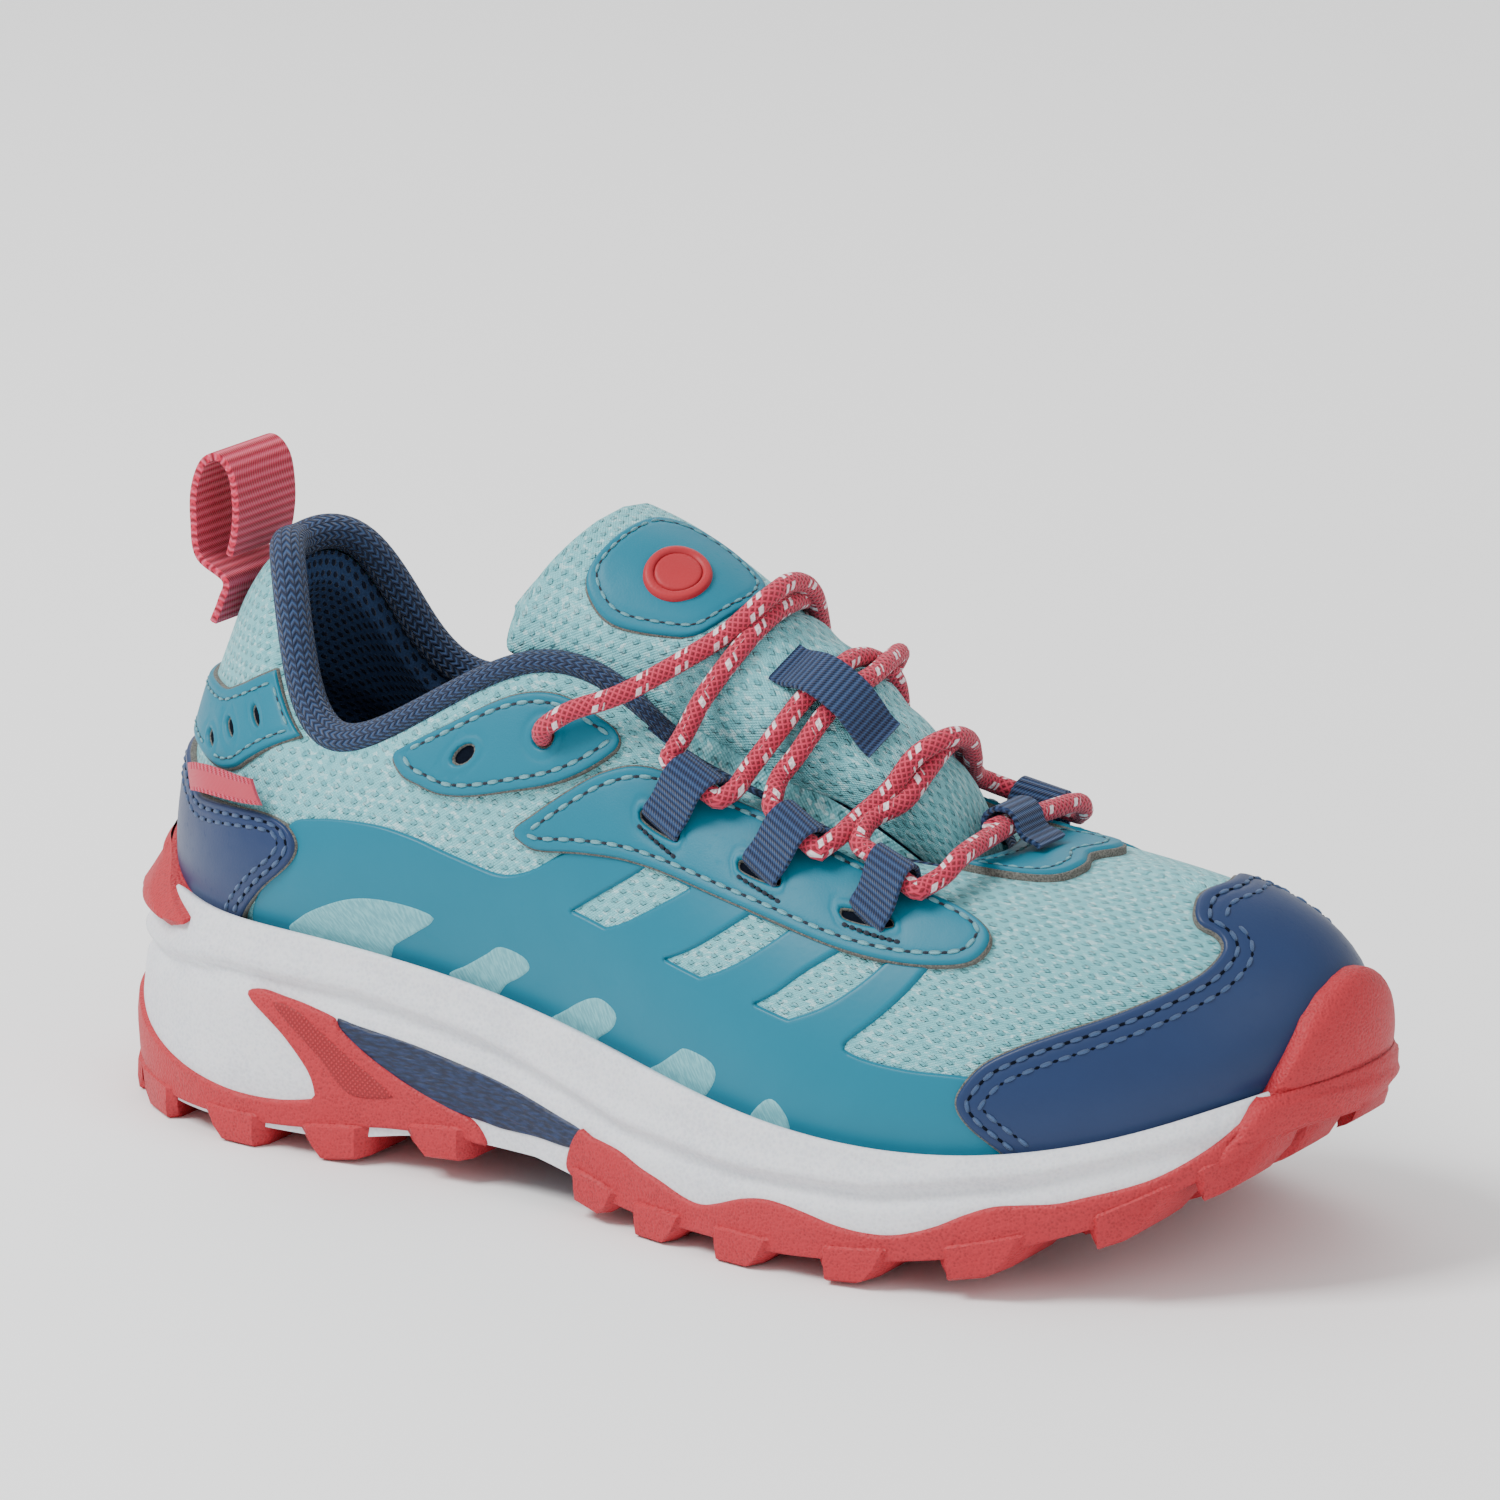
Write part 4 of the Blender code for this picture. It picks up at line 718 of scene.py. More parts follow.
def distance_to(loops):
    """A function that gives the distance of points to the nearest of the loops."""
    dense = []
    for loop in loops:
        following = np.roll(loop, -1, axis=0)
        dense += [loop * (1 - share) + following * share for share in (0.0, 0.25, 0.5, 0.75)]
    dense = np.vstack(dense)

    def distances(points):
        chunks = np.array_split(points, max(1, len(points) // 400))
        return np.concatenate([np.hypot(*(chunk[:, None] - dense[None]).transpose(2, 0, 1)).min(axis=1)
                               for chunk in chunks])

    return distances


def covered(points, loops):
    """Which of the points lie inside the first loop and outside its holes."""
    good = inside(points, loops[0])
    for loop in loops[1:]:
        good &= ~inside(points, loop)
    return good


# Depths of the rings of points inside a sheet's rim.
RINGS = (0.22, 0.5, 0.9, 1.4, 1.9, 2.5, 3.2)


def filled(loops, pitch):
    """Triangles over the first loop less the others: (points, faces, distance to the rim)."""
    near = distance_to(loops)
    rim, edges = np.vstack(loops), []
    for loop in loops:
        first = len(edges)
        edges += [(first + i, first + (i + 1) % len(loop)) for i in range(len(loop))]
    extra = []
    for index, loop in enumerate(loops):
        away = outwards(loop) * (1 if index == 0 else -1)
        extra += [loop - away * depth for depth in RINGS]
    depth_wanted = np.concatenate([np.full(len(loop), depth) for loop in loops for depth in RINGS])
    extra = np.vstack(extra)
    keep = covered(extra, loops) & (near(extra) > 0.93 * depth_wanted)
    extra = extra[keep]
    low, high = loops[0].min(axis=0), loops[0].max(axis=0)
    xs, ys = np.arange(low[0], high[0], pitch), np.arange(low[1], high[1], pitch)
    lattice = np.stack(np.meshgrid(xs, ys), -1).reshape(-1, 2)
    lattice = lattice[covered(lattice, loops)]
    lattice = lattice[near(lattice) > RINGS[-1] + 0.5 * pitch]
    everything = np.vstack([rim, extra, lattice])
    flat, _, faces, _, _, _ = delaunay_2d_cdt([tuple(p) for p in everything], edges, [], 0, 1e-4)
    flat = np.array([tuple(p) for p in flat])
    faces = np.array([tuple(f) for f in faces])
    middle = flat[faces].mean(axis=1)
    good = covered(middle, loops)
    a, b, c = (flat[faces[:, k]] for k in range(3))
    turn = (b[:, 0] - a[:, 0]) * (c[:, 1] - a[:, 1]) - (b[:, 1] - a[:, 1]) * (c[:, 0] - a[:, 0])
    faces = [tuple(f if t > 0 else f[::-1]) for f, t in zip(faces[good], turn[good])]
    return flat, faces, near(flat)


class Parts:
    """Gathers the points, faces, chart and material slots of a piece."""

    def __init__(self):
        self.points, self.faces, self.chart, self.slots, self.count = [], [], [], [], 0

    def add(self, points, faces, slot, chart):
        """chart holds two coordinates for each of the points."""
        chart = np.asarray(chart)
        self.points.append(np.asarray(points))
        for face in faces:
            self.faces.append(tuple(int(k) + self.count for k in face))
            self.chart += [chart[k] for k in face]
            self.slots.append(slot)
        self.count += len(points)

    def build(self, name, materials, **settings):
        return build(name, np.vstack(self.points), self.faces, materials, chart=np.array(self.chart),
                     slots=self.slots, **settings)


def faces_of_wall(loop, out, rows):
    """Squares over the rows of a wall below a loop, facing away from the piece."""
    squares, _ = grid(rows, closed_columns=True)
    turn = out[0, 0] * (loop[1, 1] - loop[0, 1]) - out[0, 1] * (loop[1, 0] - loop[0, 0])
    return [square[::-1] for square in squares] if turn < 0 else squares


def add_sheet(parts, surface, loops, low, high, slot=0, edge_slot=1, groove=(), pitch=2.6, thin=0.35,
              swell=0.0):
    """A sewn or bonded sheet: a rounded rim, a wall down to low with its cut edge, and a stitch groove."""
    size = SIZES[surface]
    flat, faces, away = filled(loops, pitch)
    drop = min(0.5, 0.6 * (high - low))
    rounded = np.sqrt(1 - (1 - np.clip(away / 0.55, 0, 1)) ** 2)
    height = high - drop + drop * rounded + swell * ease(away, 2.0, 7.0)
    for inset in groove:
        height = height - 0.2 * bump_at(away, inset, 0.4)
    uv = flat / size
    parts.add(offset(surface, uv[:, 0], uv[:, 1], height), faces, slot, flat)
    for index, loop in enumerate(loops):
        out = outwards(loop) * (1 if index == 0 else -1)
        levels = [(0.0, high - drop), (0.05, high - drop - 0.12), (thin, high - drop - 0.2),
                  (thin + 0.08, low)]
        rows = np.stack([offset(surface, *((loop + out * o) / size).T, h) for o, h in levels])
        squares = faces_of_wall(loop, out, rows)
        plane = np.concatenate([loop + out * o for o, _ in levels])
        count = len(loop)
        parts.add(rows.reshape(-1, 3), squares[:count], slot, plane)
        parts.add(rows.reshape(-1, 3), squares[count:], edge_slot, plane)


def stitch_runs(loops, inset, keep):
    """Lines inside the rim of the first loop, in the plane, cut where keep says no."""
    near = distance_to(loops)
    line = loops[0] - outwards(loops[0]) * inset
    good = (near(line) > 0.9 * inset) & keep(line)
    if good.all():
        return [np.vstack([line, line[:1]])]
    start = int(np.argmin(good))
    line, good = np.roll(line, -start, axis=0), np.roll(good, -start)
    breaks = np.flatnonzero(np.diff(good)) + 1
    runs = [run for run, fine in zip(np.split(line, breaks), np.split(good, breaks)) if fine[0]]
    return [run for run in runs if len(run) > 2]


def run_length(path):
    """How far along a path each of its points lies."""
    return np.concatenate([[0], np.cumsum(np.linalg.norm(np.diff(path, axis=0), axis=1))])


def read_path(places, far, path):
    """The points at the given places along a path, from the distances of its own points."""
    return np.stack([np.interp(places, far, line) for line in np.asarray(path).T], axis=-1)


# The rings of a stitch: (place along it, share of its thickness).
STITCH_RINGS = np.array([(-1.0, 0.3), (-0.75, 0.8), (0.0, 1.0), (0.75, 0.8), (1.0, 0.3)])


def add_stitches(parts, surface, runs, height, slot, hole_slot, length=2.2, gap=1.0, radius=0.42):
    """Short rounded threads along the runs, with a dark dip between two."""
    size = SIZES[surface]
    angles = np.linspace(0, 2 * math.pi, 6, endpoint=False)
    for run in runs:
        uv = run / size
        path = offset(surface, uv[:, 0], uv[:, 1], height)
        above = offset(surface, uv[:, 0], uv[:, 1], height + 1.0)
        far = run_length(path)
        count = max(1, round(far[-1] / (length + gap)))
        pitch = far[-1] / count
        threads = (slot, length / 2, radius, 0.0)
        dips = (hole_slot, gap * 0.62, radius * 0.72, 0.14)
        for kind, half, thick, sink in (threads, dips):
            middles = (np.arange(count) + (0.5 if kind == slot else 1.0)) * pitch
            middles = middles[middles < far[-1] - 0.2]
            if not len(middles):
                continue
            centre = read_path(middles, far, path)
            along = unit(read_path(middles + 0.4, far, path) - read_path(middles - 0.4, far, path))
            normal = unit(read_path(middles, far, above) - centre)
            side = np.cross(along, normal)
            reach, fat = STITCH_RINGS.T
            ring = (centre[:, None, None] + along[:, None, None] * (reach * half)[None, :, None, None]
                    + normal[:, None, None] * (0.12 * (1 - reach ** 2) - sink)[None, :, None, None]
                    + thick * fat[None, :, None, None]
                    * (0.8 * np.cos(angles)[None, None, :, None] * normal[:, None, None]
                       + np.sin(angles)[None, None, :, None] * side[:, None, None]))
            for stitch in ring:
                squares, _ = grid(stitch, closed_columns=True)
                ends = [tuple(range(6)), tuple(range(29, 23, -1))]
                chart = [(5 * a * 0.5, b * 0.35) for a in range(5) for b in range(6)]
                parts.add(stitch.reshape(-1, 3), [s[::-1] for s in squares] + ends, kind, chart)


def above_lip(line):
    """Where the upper isn't hidden by the midsole's lip."""
    return line[:, 1] / SIZES[upper][1] > 9.0


def sewn(name, outline, materials, low=-0.6, high=1.35, holes=(), surface=upper, rows=(2.0,),
         keep=above_lip, thread_size=(2.2, 1.0, 0.42), pitch=2.6, inlays=(), swell=0.0, **settings):
    """A sewn piece. materials are its face, cut edge, thread and thread hole, and the inlays' after them."""
    loops = [smooth_outline(surface, outline, 1.1)]
    loops += [smooth_outline(surface, hole, 0.8) for hole in holes]
    parts = Parts()
    add_sheet(parts, surface, loops, low, high, groove=rows, pitch=pitch, swell=swell)
    for inset in rows:
        add_stitches(parts, surface, stitch_runs(loops, inset, keep), high - 0.1, 2, 3, *thread_size)
    for inlay in inlays:
        loop = smooth_outline(surface, inlay, 0.9)
        add_sheet(parts, surface, [loop], high - 0.1, high + 0.12, slot=4, edge_slot=4, thin=0.2)
    return parts.build(name, materials, **settings)


def closed_tube(name, rings, along, around, materials, **settings):
    """A piece over closed rings, with both ends filled. along and around are its chart's coordinates."""
    faces, corners = flipped(*grid(rings, closed_columns=True))
    sides, count = rings.shape[1], rings.shape[0] * rings.shape[1]
    ends = [list(range(sides)), list(range(count - 1, count - sides - 1, -1))]
    chart = np.vstack([read_chart(corners, along, around), np.zeros((2 * sides, 2))])
    return build(name, rings.reshape(-1, 3), faces + ends, materials, chart=chart, **settings)


# How a cord's ends are rounded, from the tip on: (how far out in radii, share of the thickness).
ROUND_END = np.array([(0.45, 0.35), (0.25, 0.8)])


def tube(name, path, radius, materials, sides=14, **settings):
    """A round cord along its path, with rounded ends."""
    path = np.asarray(path, float)
    radius = np.broadcast_to(np.asarray(radius, float), (len(path),))
    along = unit(np.gradient(path, axis=0))
    out, share = ROUND_END.T
    path = np.vstack([path[0] - along[0] * radius[0] * out[:, None], path,
                      path[-1] + along[-1] * radius[-1] * out[::-1, None]])
    radius = np.concatenate([radius[0] * share, radius, radius[-1] * share[::-1]])
    along = np.vstack([along[:1], along[:1], along, along[-1:], along[-1:]])
    side = np.cross(along[0], (0.3, 0.2, 1.0))
    sideways = []
    for direction in along:
        side = side - direction * (side @ direction)
        side /= np.linalg.norm(side)
        sideways.append(side)
    sideways = np.array(sideways)
    over = np.cross(along, sideways)
    angles = np.linspace(0, 2 * math.pi, sides, endpoint=False)
    rings = path[:, None] + radius[:, None, None] * (np.cos(angles)[None, :, None] * sideways[:, None]
                                                     + np.sin(angles)[None, :, None] * over[:, None])
    girth = np.append(angles, 2 * math.pi) * float(radius.max())
    return closed_tube(name, rings, run_length(path), girth, materials, **settings)


def band(name, centres, sideways, width, thickness, material, **settings):
    """A flat strap with rounded edges."""
    sideways = np.broadcast_to(np.asarray(sideways, float), centres.shape)
    normal = unit(np.cross(sideways, np.gradient(centres, axis=0)))
    a, b = width / 2, thickness / 2
    shape = np.array([(-a, 0), (-a + 0.25, b), (-a / 2, b), (0, b), (a / 2, b), (a - 0.25, b), (a, 0),
                      (a - 0.25, -b), (a / 2, -b), (0, -b), (-a / 2, -b), (-a + 0.25, -b)])
    rings = centres[:, None] + shape[None, :, :1] * sideways[:, None] + shape[None, :, 1:] * normal[:, None]
    across = np.append(shape[:, 0], shape[0, 0])
    return closed_tube(name, rings, run_length(centres), across, [material], sharp=60, **settings)


def spline_path(points, count):
    """An even run of points along a smooth open curve."""
    points = np.array(points, float)
    ends = np.vstack([2 * points[0] - points[1], points, 2 * points[-1] - points[-2]])
    t = np.linspace(0, 1, 24, endpoint=False)[:, None]
    dense = np.vstack([catmull_rom(*ends[i:i + 4], t) for i in range(len(ends) - 3)] + [points[-1:]])
    far = run_length(dense)
    return read_path(np.linspace(0, far[-1], count), far, dense)


# ---------------------------------------------------------------- the sole

# The lip's cross-section: (distance in from its outer edge, height over it).
LIP_SECTION = [(0.25, 0.45), (0.8, 0.62), (1.5, 0.35)]


def make_midsole():
    us = np.linspace(0, 200, 360, endpoint=False)
    top, low = lip_height(us), ground_at(us) + LUG_DEPTH - 0.6
    share = np.linspace(0, 1, 26)
    wall = sole(us[:, None], top[:, None] * (1 - share) + low[:, None] * share)
    lip = [plan(us, lip_out(us) - inwards, top + rise) for inwards, rise in LIP_SECTION]
    lip.append(plan(us, bulge(us, 5) - 0.6, top - 1.3))
    rows = np.concatenate([np.stack(lip[::-1], axis=1), wall], axis=1)
    faces, corners = grid(rows, closed_rows=True)
    chart = read_chart(corners, np.linspace(0, 580, 361), np.linspace(0, 30, rows.shape[1]))
    build("midsole_foam", rows.reshape(-1, 3), faces, [FOAM], chart=chart, nodes=("midsole",))


def level_panel(name, outline, material, height=0.7, low=-0.8, flips=(list, mirrored), edge=None):
    """A moulded piece on the sole's wall, from an outline in (u, z). flips are the sides that it is on."""
    parts = Parts()
    for flip in flips:
        add_sheet(parts, sole, [smooth_outline(sole, flip(outline), 1.1)], low, height, thin=0.1)
    parts.build(name, [material, edge or material])


# Outlines on the sole's wall, in (u, z).
HEEL_RUBBER = [
    (0, 19.5), (5.9, 17.6), (9.8, 14.6), (13.4, 12), (16.3, 10.3), (19.3, 9.3), (22.4, 9.4), (25.0, 10.6),
    (25.3, 11.6), (24.8, 15.5), (23.1, 20.6), (21.5, 24.0), (20.3, 26.2), (19.9, 27.8), (21, 28.4),
    (22.7, 27.9), (24.5, 27.2), (26.6, 25.7), (26.9, 24.4), (28.8, 20.7), (30.7, 17.9), (32.6, 15.7),
    (35.0, 13.6), (37.0, 12.0), (38, 8.5), (37, 8.2), (36, 8.4), (30, 7.6), (24, 5.2), (18, 4.6), (12, 4.8),
    (8, 6.5), (5, 9), (0, 11.5)]
HEEL_FINE = [
    (21.9, 26.9), (23.8, 26.4), (25.8, 23.2), (28.0, 19.3), (30.6, 15.0), (31.0, 13.6), (28.6, 12.6),
    (27.2, 14), (25.6, 18.5), (22.9, 24.4)]
NAVY_PLATE = [
    (26.7, 25.9), (28.3, 25.2), (31.8, 23.8), (35.5, 22.0), (39.5, 20.0), (44.0, 17.2), (46.9, 15.2),
    (46.2, 12.4), (45.2, 11.6), (42.4, 11.9), (39.4, 11.8), (37.9, 12.2), (35.0, 13.1), (32.6, 15.0),
    (30.7, 17.4), (28.8, 20.2), (27.2, 23.4)]
FOREFOOT_RUBBER = [
    (46.5, 15.4), (47.8, 14.8), (50.3, 13.8), (52.4, 12.0), (54.3, 10.8), (56.4, 9.2), (57.9, 8.8),
    (59.3, 9.8), (61.1, 11.6), (62.8, 12.5), (64.3, 12.3), (66.0, 11.5), (67.6, 10.5), (69.3, 9.9),
    (71.2, 9.9), (72.8, 10.9), (74.4, 12.6), (75.8, 14.6), (77.5, 16.4), (79.2, 17.0), (81.1, 17.5),
    (82.9, 18.8), (84.8, 20.2), (86.7, 22.0), (88.7, 24.8), (90.3, 27.5), (91.6, 30.5), (93, 32), (96, 33),
    (100, 33.5)]


def forefoot_outline():
    """The forefoot rubber on both sides: its upper edge, then its lower edge along the lugs' roots."""
    top = FOREFOOT_RUBBER + mirrored(FOREFOOT_RUBBER[:-1])
    us = np.array([u for u, _ in top])[::-1]
    low = ground_at(us) + LUG_DEPTH - 0.8
    return top + [(154.6, 8.2)] + list(zip(us[1:-1].tolist(), low[1:-1].tolist())) + [(45.4, 8.2)]


def station_at(x):
    """The station on the outer side where the sole's edge reaches this x."""
    u = np.linspace(0, 100, 2001)
    edge = plan(u, lip_out(u), 0)[:, 0]
    return np.interp(x, np.maximum.accumulate(edge), u)


# Each ring of a lug: (height, how far its sides and its outer edge stand out from its foot).
LUG_LEVELS = [(1.45, 1.0, 0.6), (1.3, 0.95, 1.5), (0.6, 0.55, 1.6), (0.12, 0.06, 1.3), (0.0, -0.3, 0.8)]
# Where the lugs stand across the sole, from -1 at the outer edge to 1.
EDGE_COLUMNS = [(-1.0, -0.56), (0.56, 1.0), (-0.24, 0.24)]
BETWEEN_COLUMNS = [(-0.52, -0.28), (0.28, 0.52)]
LUG_CORNER = 0.16


def add_lug(parts, start, end, left, right, slopes):
    """One lug: a tapered block with bevelled edges. slopes are its root's reach to the heel and the toe."""
    near, far = LUG_CORNER, 1 - LUG_CORNER
    shape = np.array([(near, 0), (far, 0), (1, near), (1, far), (far, 1), (near, 1), (0, far), (0, near)])
    rings = []
    for lift, spread, proud in LUG_LEVELS:
        back, front = start - spread * slopes[0], end + spread * slopes[1]
        x = np.clip(back + shape[:, 0] * (front - back), 2.5, 229.0)
        u = station_at(x)
        outer, inner = (plan(side, lip_out(side) + 0.9 * flare(side) + proud, 0) for side in (u, 200 - u))
        breadth = np.linalg.norm(inner - outer, axis=1)
        at = left + shape[:, 1] * (right - left)
        slack = 1.2 * spread * np.where(shape[:, 1] < 0.5, -1, 1)
        share = np.clip((at + 1) / 2 + slack / breadth, 0.0, 1.0)
        ring = outer * (1 - share[:, None]) + inner * share[:, None]
        ring[:, 2] = level(GROUND, x) + LUG_DEPTH * lift
        rings.append(ring)
    rings = np.array(rings)
    faces, _ = grid(rings, closed_columns=True)
    count, sides = rings.shape[0] * rings.shape[1], rings.shape[1]
    foot = [tuple(range(count - 1, count - sides - 1, -1))]
    points = rings.reshape(-1, 3)
    parts.add(points, [f[::-1] for f in faces] + foot, 0, points[:, :2])


def tread_plate(name, start, end, material, lugs=(), slopes=(0, 0), nodes=()):
    """The underside between two places: a plate with rows of lugs, in step along the edges."""
    parts = Parts()
    u = np.linspace(station_at(start), station_at(end), 60)
    sides = []
    for side in (u, 200 - u):
        edge = plan(side, lip_out(side) + 0.85 * flare(side), 0)
        edge[:, 2] = ground_at(side) + LUG_DEPTH
        sides.append(edge)
    share = np.linspace(0, 1, 15)[None, :, None]
    rows = sides[0][:, None] * (1 - share) + sides[1][:, None] * share
    faces, _ = grid(rows)
    points = rows.reshape(-1, 3)
    parts.add(points, [f[::-1] for f in faces], 0, points[:, :2])
    for places, columns in zip(lugs, (EDGE_COLUMNS, BETWEEN_COLUMNS)):
        for first, last in places:
            for left, right in columns:
                add_lug(parts, first, last, left, right, slopes)
    parts.build(name, [material], nodes=nodes, sharp=38)


# The bumper's upper edge, over the toe cap: (u, v).
BUMPER_EDGE = [
    (91.6, 0.0), (92.9, 8), (93.3, 14), (94.2, 20), (95.3, 26), (96.8, 30), (98.6, 32.3), (100, 33)]
# The bumper's reach to each side of the toe, at the ground and at the lip; it starts there on the rib.
BUMPER_LOW, BUMPER_HIGH, BUMPER_V = 10.4, 7.3, 9


def make_toe_bumper():
    """Rough rubber up the front of the toe, with a rounded top and slanted grooves low down."""
    edge_u, edge_v = np.array(BUMPER_EDGE).T
    sides = np.linspace(-1, 1, 65)
    rim = np.sqrt(np.clip(1 - ((np.abs(sides) - 0.8) / 0.2).clip(0, 1) ** 2, 0, 1))
    low_share, high_share = np.linspace(0, 1, 15), np.linspace(0, 1, 16)[1:]
    rows = []
    for side, full in zip(sides, rim):
        u_low = 100 + side * (BUMPER_LOW - (BUMPER_LOW - BUMPER_HIGH) * low_share)
        bottom = ground_at(u_low) + LUG_DEPTH + 0.4
        z = bottom * (1 - low_share) + (lip_height(u_low) + 0.8) * low_share
        grooves = np.sin(2 * math.pi * (low_share * 2.6 + 0.09 * u_low)).clip(0, 1) * (1 - low_share)
        grooves *= low_share > 0.1
        proud = 2.0 + 0.9 * np.sin(math.pi * low_share) + 0.7 * grooves
        low = offset(sole, u_low, z, 0.8 * low_share - 0.5 + proud * full)
        reach = BUMPER_HIGH * side
        top_v = max(float(np.interp(100 - abs(reach), edge_u, edge_v)), BUMPER_V + 0.6)
        cap = np.sqrt(1 - ((high_share - 0.7) / 0.3).clip(0, 1) ** 2)
        height = 1.1 + (2.9 + 1.4 * (1 - high_share)) * cap * full
        high = offset(upper, 100 + reach, BUMPER_V + (top_v - BUMPER_V) * high_share, height)
        under = low[:1] - [[0, 0, 0.3]]
        under[0, :2] = plan(u_low[:1], lip_out(u_low[:1]) - 1.5, 0)[0, :2]
        behind = offset(upper, np.array([100 + reach]), top_v + 0.4, 0.4)
        rows.append(np.vstack([under, low, high, behind]))
    rows = np.array(rows)
    faces, corners = grid(rows)
    chart = read_chart(corners, sides * 26, np.linspace(0, 45, rows.shape[1]))
    build("toe_bumper_rubber", rows.reshape(-1, 3), faces, [CORAL_RUBBER], chart=chart, nodes=("toe_bumper",))


HEEL_CLIP_HALF = [
    (0, 22.5), (3.4, 20), (7, 14.5), (10.6, 9.5), (13.6, 6.2), (13.2, 4.4), (12, 2.2), (11.4, 1.2), (8, 0.4),
    (0, 0.4)]


def clip_lift(v):
    """The heel clip's height over the upper, larger over the midsole's lip."""
    return 4.6 * (1 - ease(v, 4, 15)) + 2.4


def make_heel_clip():
    """A faceted rubber clip round the back of the heel, on the midsole's lip."""
    size = SIZES[upper]
    loop = smooth_outline(upper, whole(HEEL_CLIP_HALF), 1.0)
    flat, faces, away = filled([loop], 2.2)
    u, v = (flat / size).T
    facet = 1.5 * ease(away, 0.2, 2.6) + 0.5 * ease(np.abs(u), 5.5, 4.2)
    parts = Parts()
    parts.add(offset(upper, u, v, clip_lift(v) + facet), faces, 0, flat)
    u, v = (loop / size).T
    top = clip_lift(v)
    rows = np.stack([offset(upper, u, v, height) for height in (top, top * 0.5, 0 * top + 0.4)])
    parts.add(rows.reshape(-1, 3), faces_of_wall(loop, outwards(loop), rows), 0, np.tile(loop, (3, 1)))
    parts.build("heel_clip_rubber", [CORAL_RUBBER], nodes=("heel_clip",), sharp=32)


def make_sole():
    make_midsole()
    level_panel("heel_rubber_wall", whole(HEEL_RUBBER), CORAL_RUBBER, 0.8, flips=(list,))
    level_panel("heel_fine_panels", HEEL_FINE, DOTTED, 1.0, low=0.3)
    level_panel("arch_plate_wall", NAVY_PLATE, NAVY_RUBBER, 0.35, edge=CORAL_RUBBER)
    level_panel("forefoot_rubber_wall", forefoot_outline(), CORAL_RUBBER, 0.8, flips=(list,))
    tread_plate("heel_tread", 3.0, 90.0, CORAL_RUBBER, HEEL_LUGS, (4.0, 1.0), ("heel_outsole",))
    tread_plate("forefoot_tread", 107.0, 229.5, CORAL_RUBBER, FOREFOOT_LUGS, (1.0, 5.0),
                ("forefoot_outsole",))
    tread_plate("arch_underside", 88.0, 109.0, NAVY_RUBBER, nodes=("arch_plate",))
    make_toe_bumper()
    make_heel_clip()


# ---------------------------------------------------------------- the upper

# Outlines on the upper, in (u, v). Those that end in HALF run from the shoe's middle to its middle.
FILM = [
    (18, 2), (18, 2), (18.5, 12), (20, 30), (21, 50), (21.5, 63), (23.5, 66.8), (25.5, 66), (28, 61.5),
    (30.5, 55), (33, 48.5), (35.5, 44.3), (37.3, 43.3), (39.2, 46), (41, 51), (43.5, 58), (47, 66), (47, 66),
    (56, 68), (64, 68), (72, 66), (77.5, 64), (77.5, 64), (73.5, 52), (71, 45), (68.2, 37), (69, 34.5),
    (72, 32.8), (76, 31), (79, 26), (80, 14), (79.5, 2), (79.5, 2), (50, 2), (30, 2)]
FILM_WINDOWS = [
    [(43, 40.2), (43, 40.2), (45.5, 48), (48.5, 57), (50, 62), (50, 62), (54.8, 62), (54.8, 62), (51, 52),
     (48, 44), (46.3, 40.3), (46.3, 40.3)],
    [(52.3, 41), (52.3, 41), (55, 47), (58, 54.5), (61, 62), (61, 62), (65, 62), (65, 62), (61.5, 53),
     (58.5, 46), (56, 41), (56, 41)],
    [(61, 40.3), (61, 40.3), (63, 45), (66, 53), (69.5, 61), (69.5, 61), (73, 60), (73, 60), (70, 52),
     (67, 45), (64, 39.5), (64, 39.5)]]
INLAYS = [
    [(21.9, 8), (23, 16), (24.5, 23), (26.5, 29.5), (28.3, 31.8), (30.5, 31), (32.5, 28.5), (32.6, 26),
     (31.5, 21), (30, 14), (29, 6), (25, 5)],
    [(33.6, 8), (35, 14), (36.5, 20), (37.5, 23.5), (39.3, 23), (39.9, 20.5), (39.3, 17), (38, 12), (37, 6),
     (35, 5)],
    [(41.5, 5.5), (43, 12), (44.5, 17.5), (46, 21), (47.3, 20.5), (47.8, 18), (47.3, 13.5), (46, 8),
     (45.4, 4.5), (43, 4)],
    [(50.8, 5.5), (52, 11), (53.5, 17), (54.5, 20), (56.5, 20), (57.2, 17.5), (56.8, 12), (55.5, 5), (53, 4)],
    [(60, 5.5), (60.8, 12), (62, 16), (63, 12.5), (63.2, 6), (61.6, 4)]]
EYESTAY = [
    (37.7, 55.5), (38.4, 53), (40, 52.2), (44, 56), (48, 60), (52, 62.4), (57, 63), (64, 62.4), (71, 60.3),
    (76, 59.2), (79, 60), (81, 65), (81.4, 70), (80.5, 76), (78, 82), (74, 87), (69, 90), (63, 91.2),
    (57, 91), (52, 89.5), (48, 85), (44.5, 77), (41.5, 68), (39, 60)]
ANKLE = [
    (28.3, 88), (29.2, 79), (30.5, 73), (32, 67.8), (33.8, 65.3), (36, 65.2), (39, 67.5), (41.5, 72),
    (43.8, 79), (45.3, 86), (44.8, 89.6), (42.5, 90.6), (39.5, 92.3), (36, 92.2), (32, 90.5), (29.3, 90)]
TOE_CAP_HALF = [
    (100, 2), (90, 2), (79, 2), (79, 2), (77.5, 9), (75.6, 18), (75.1, 24), (75.8, 29), (77.3, 34),
    (79.5, 37.2), (82, 39.3), (86, 41.6), (90, 44.5), (92, 46.6), (93.7, 50), (94.2, 54), (94, 58), (95, 62),
    (97, 65), (100, 64.6)]
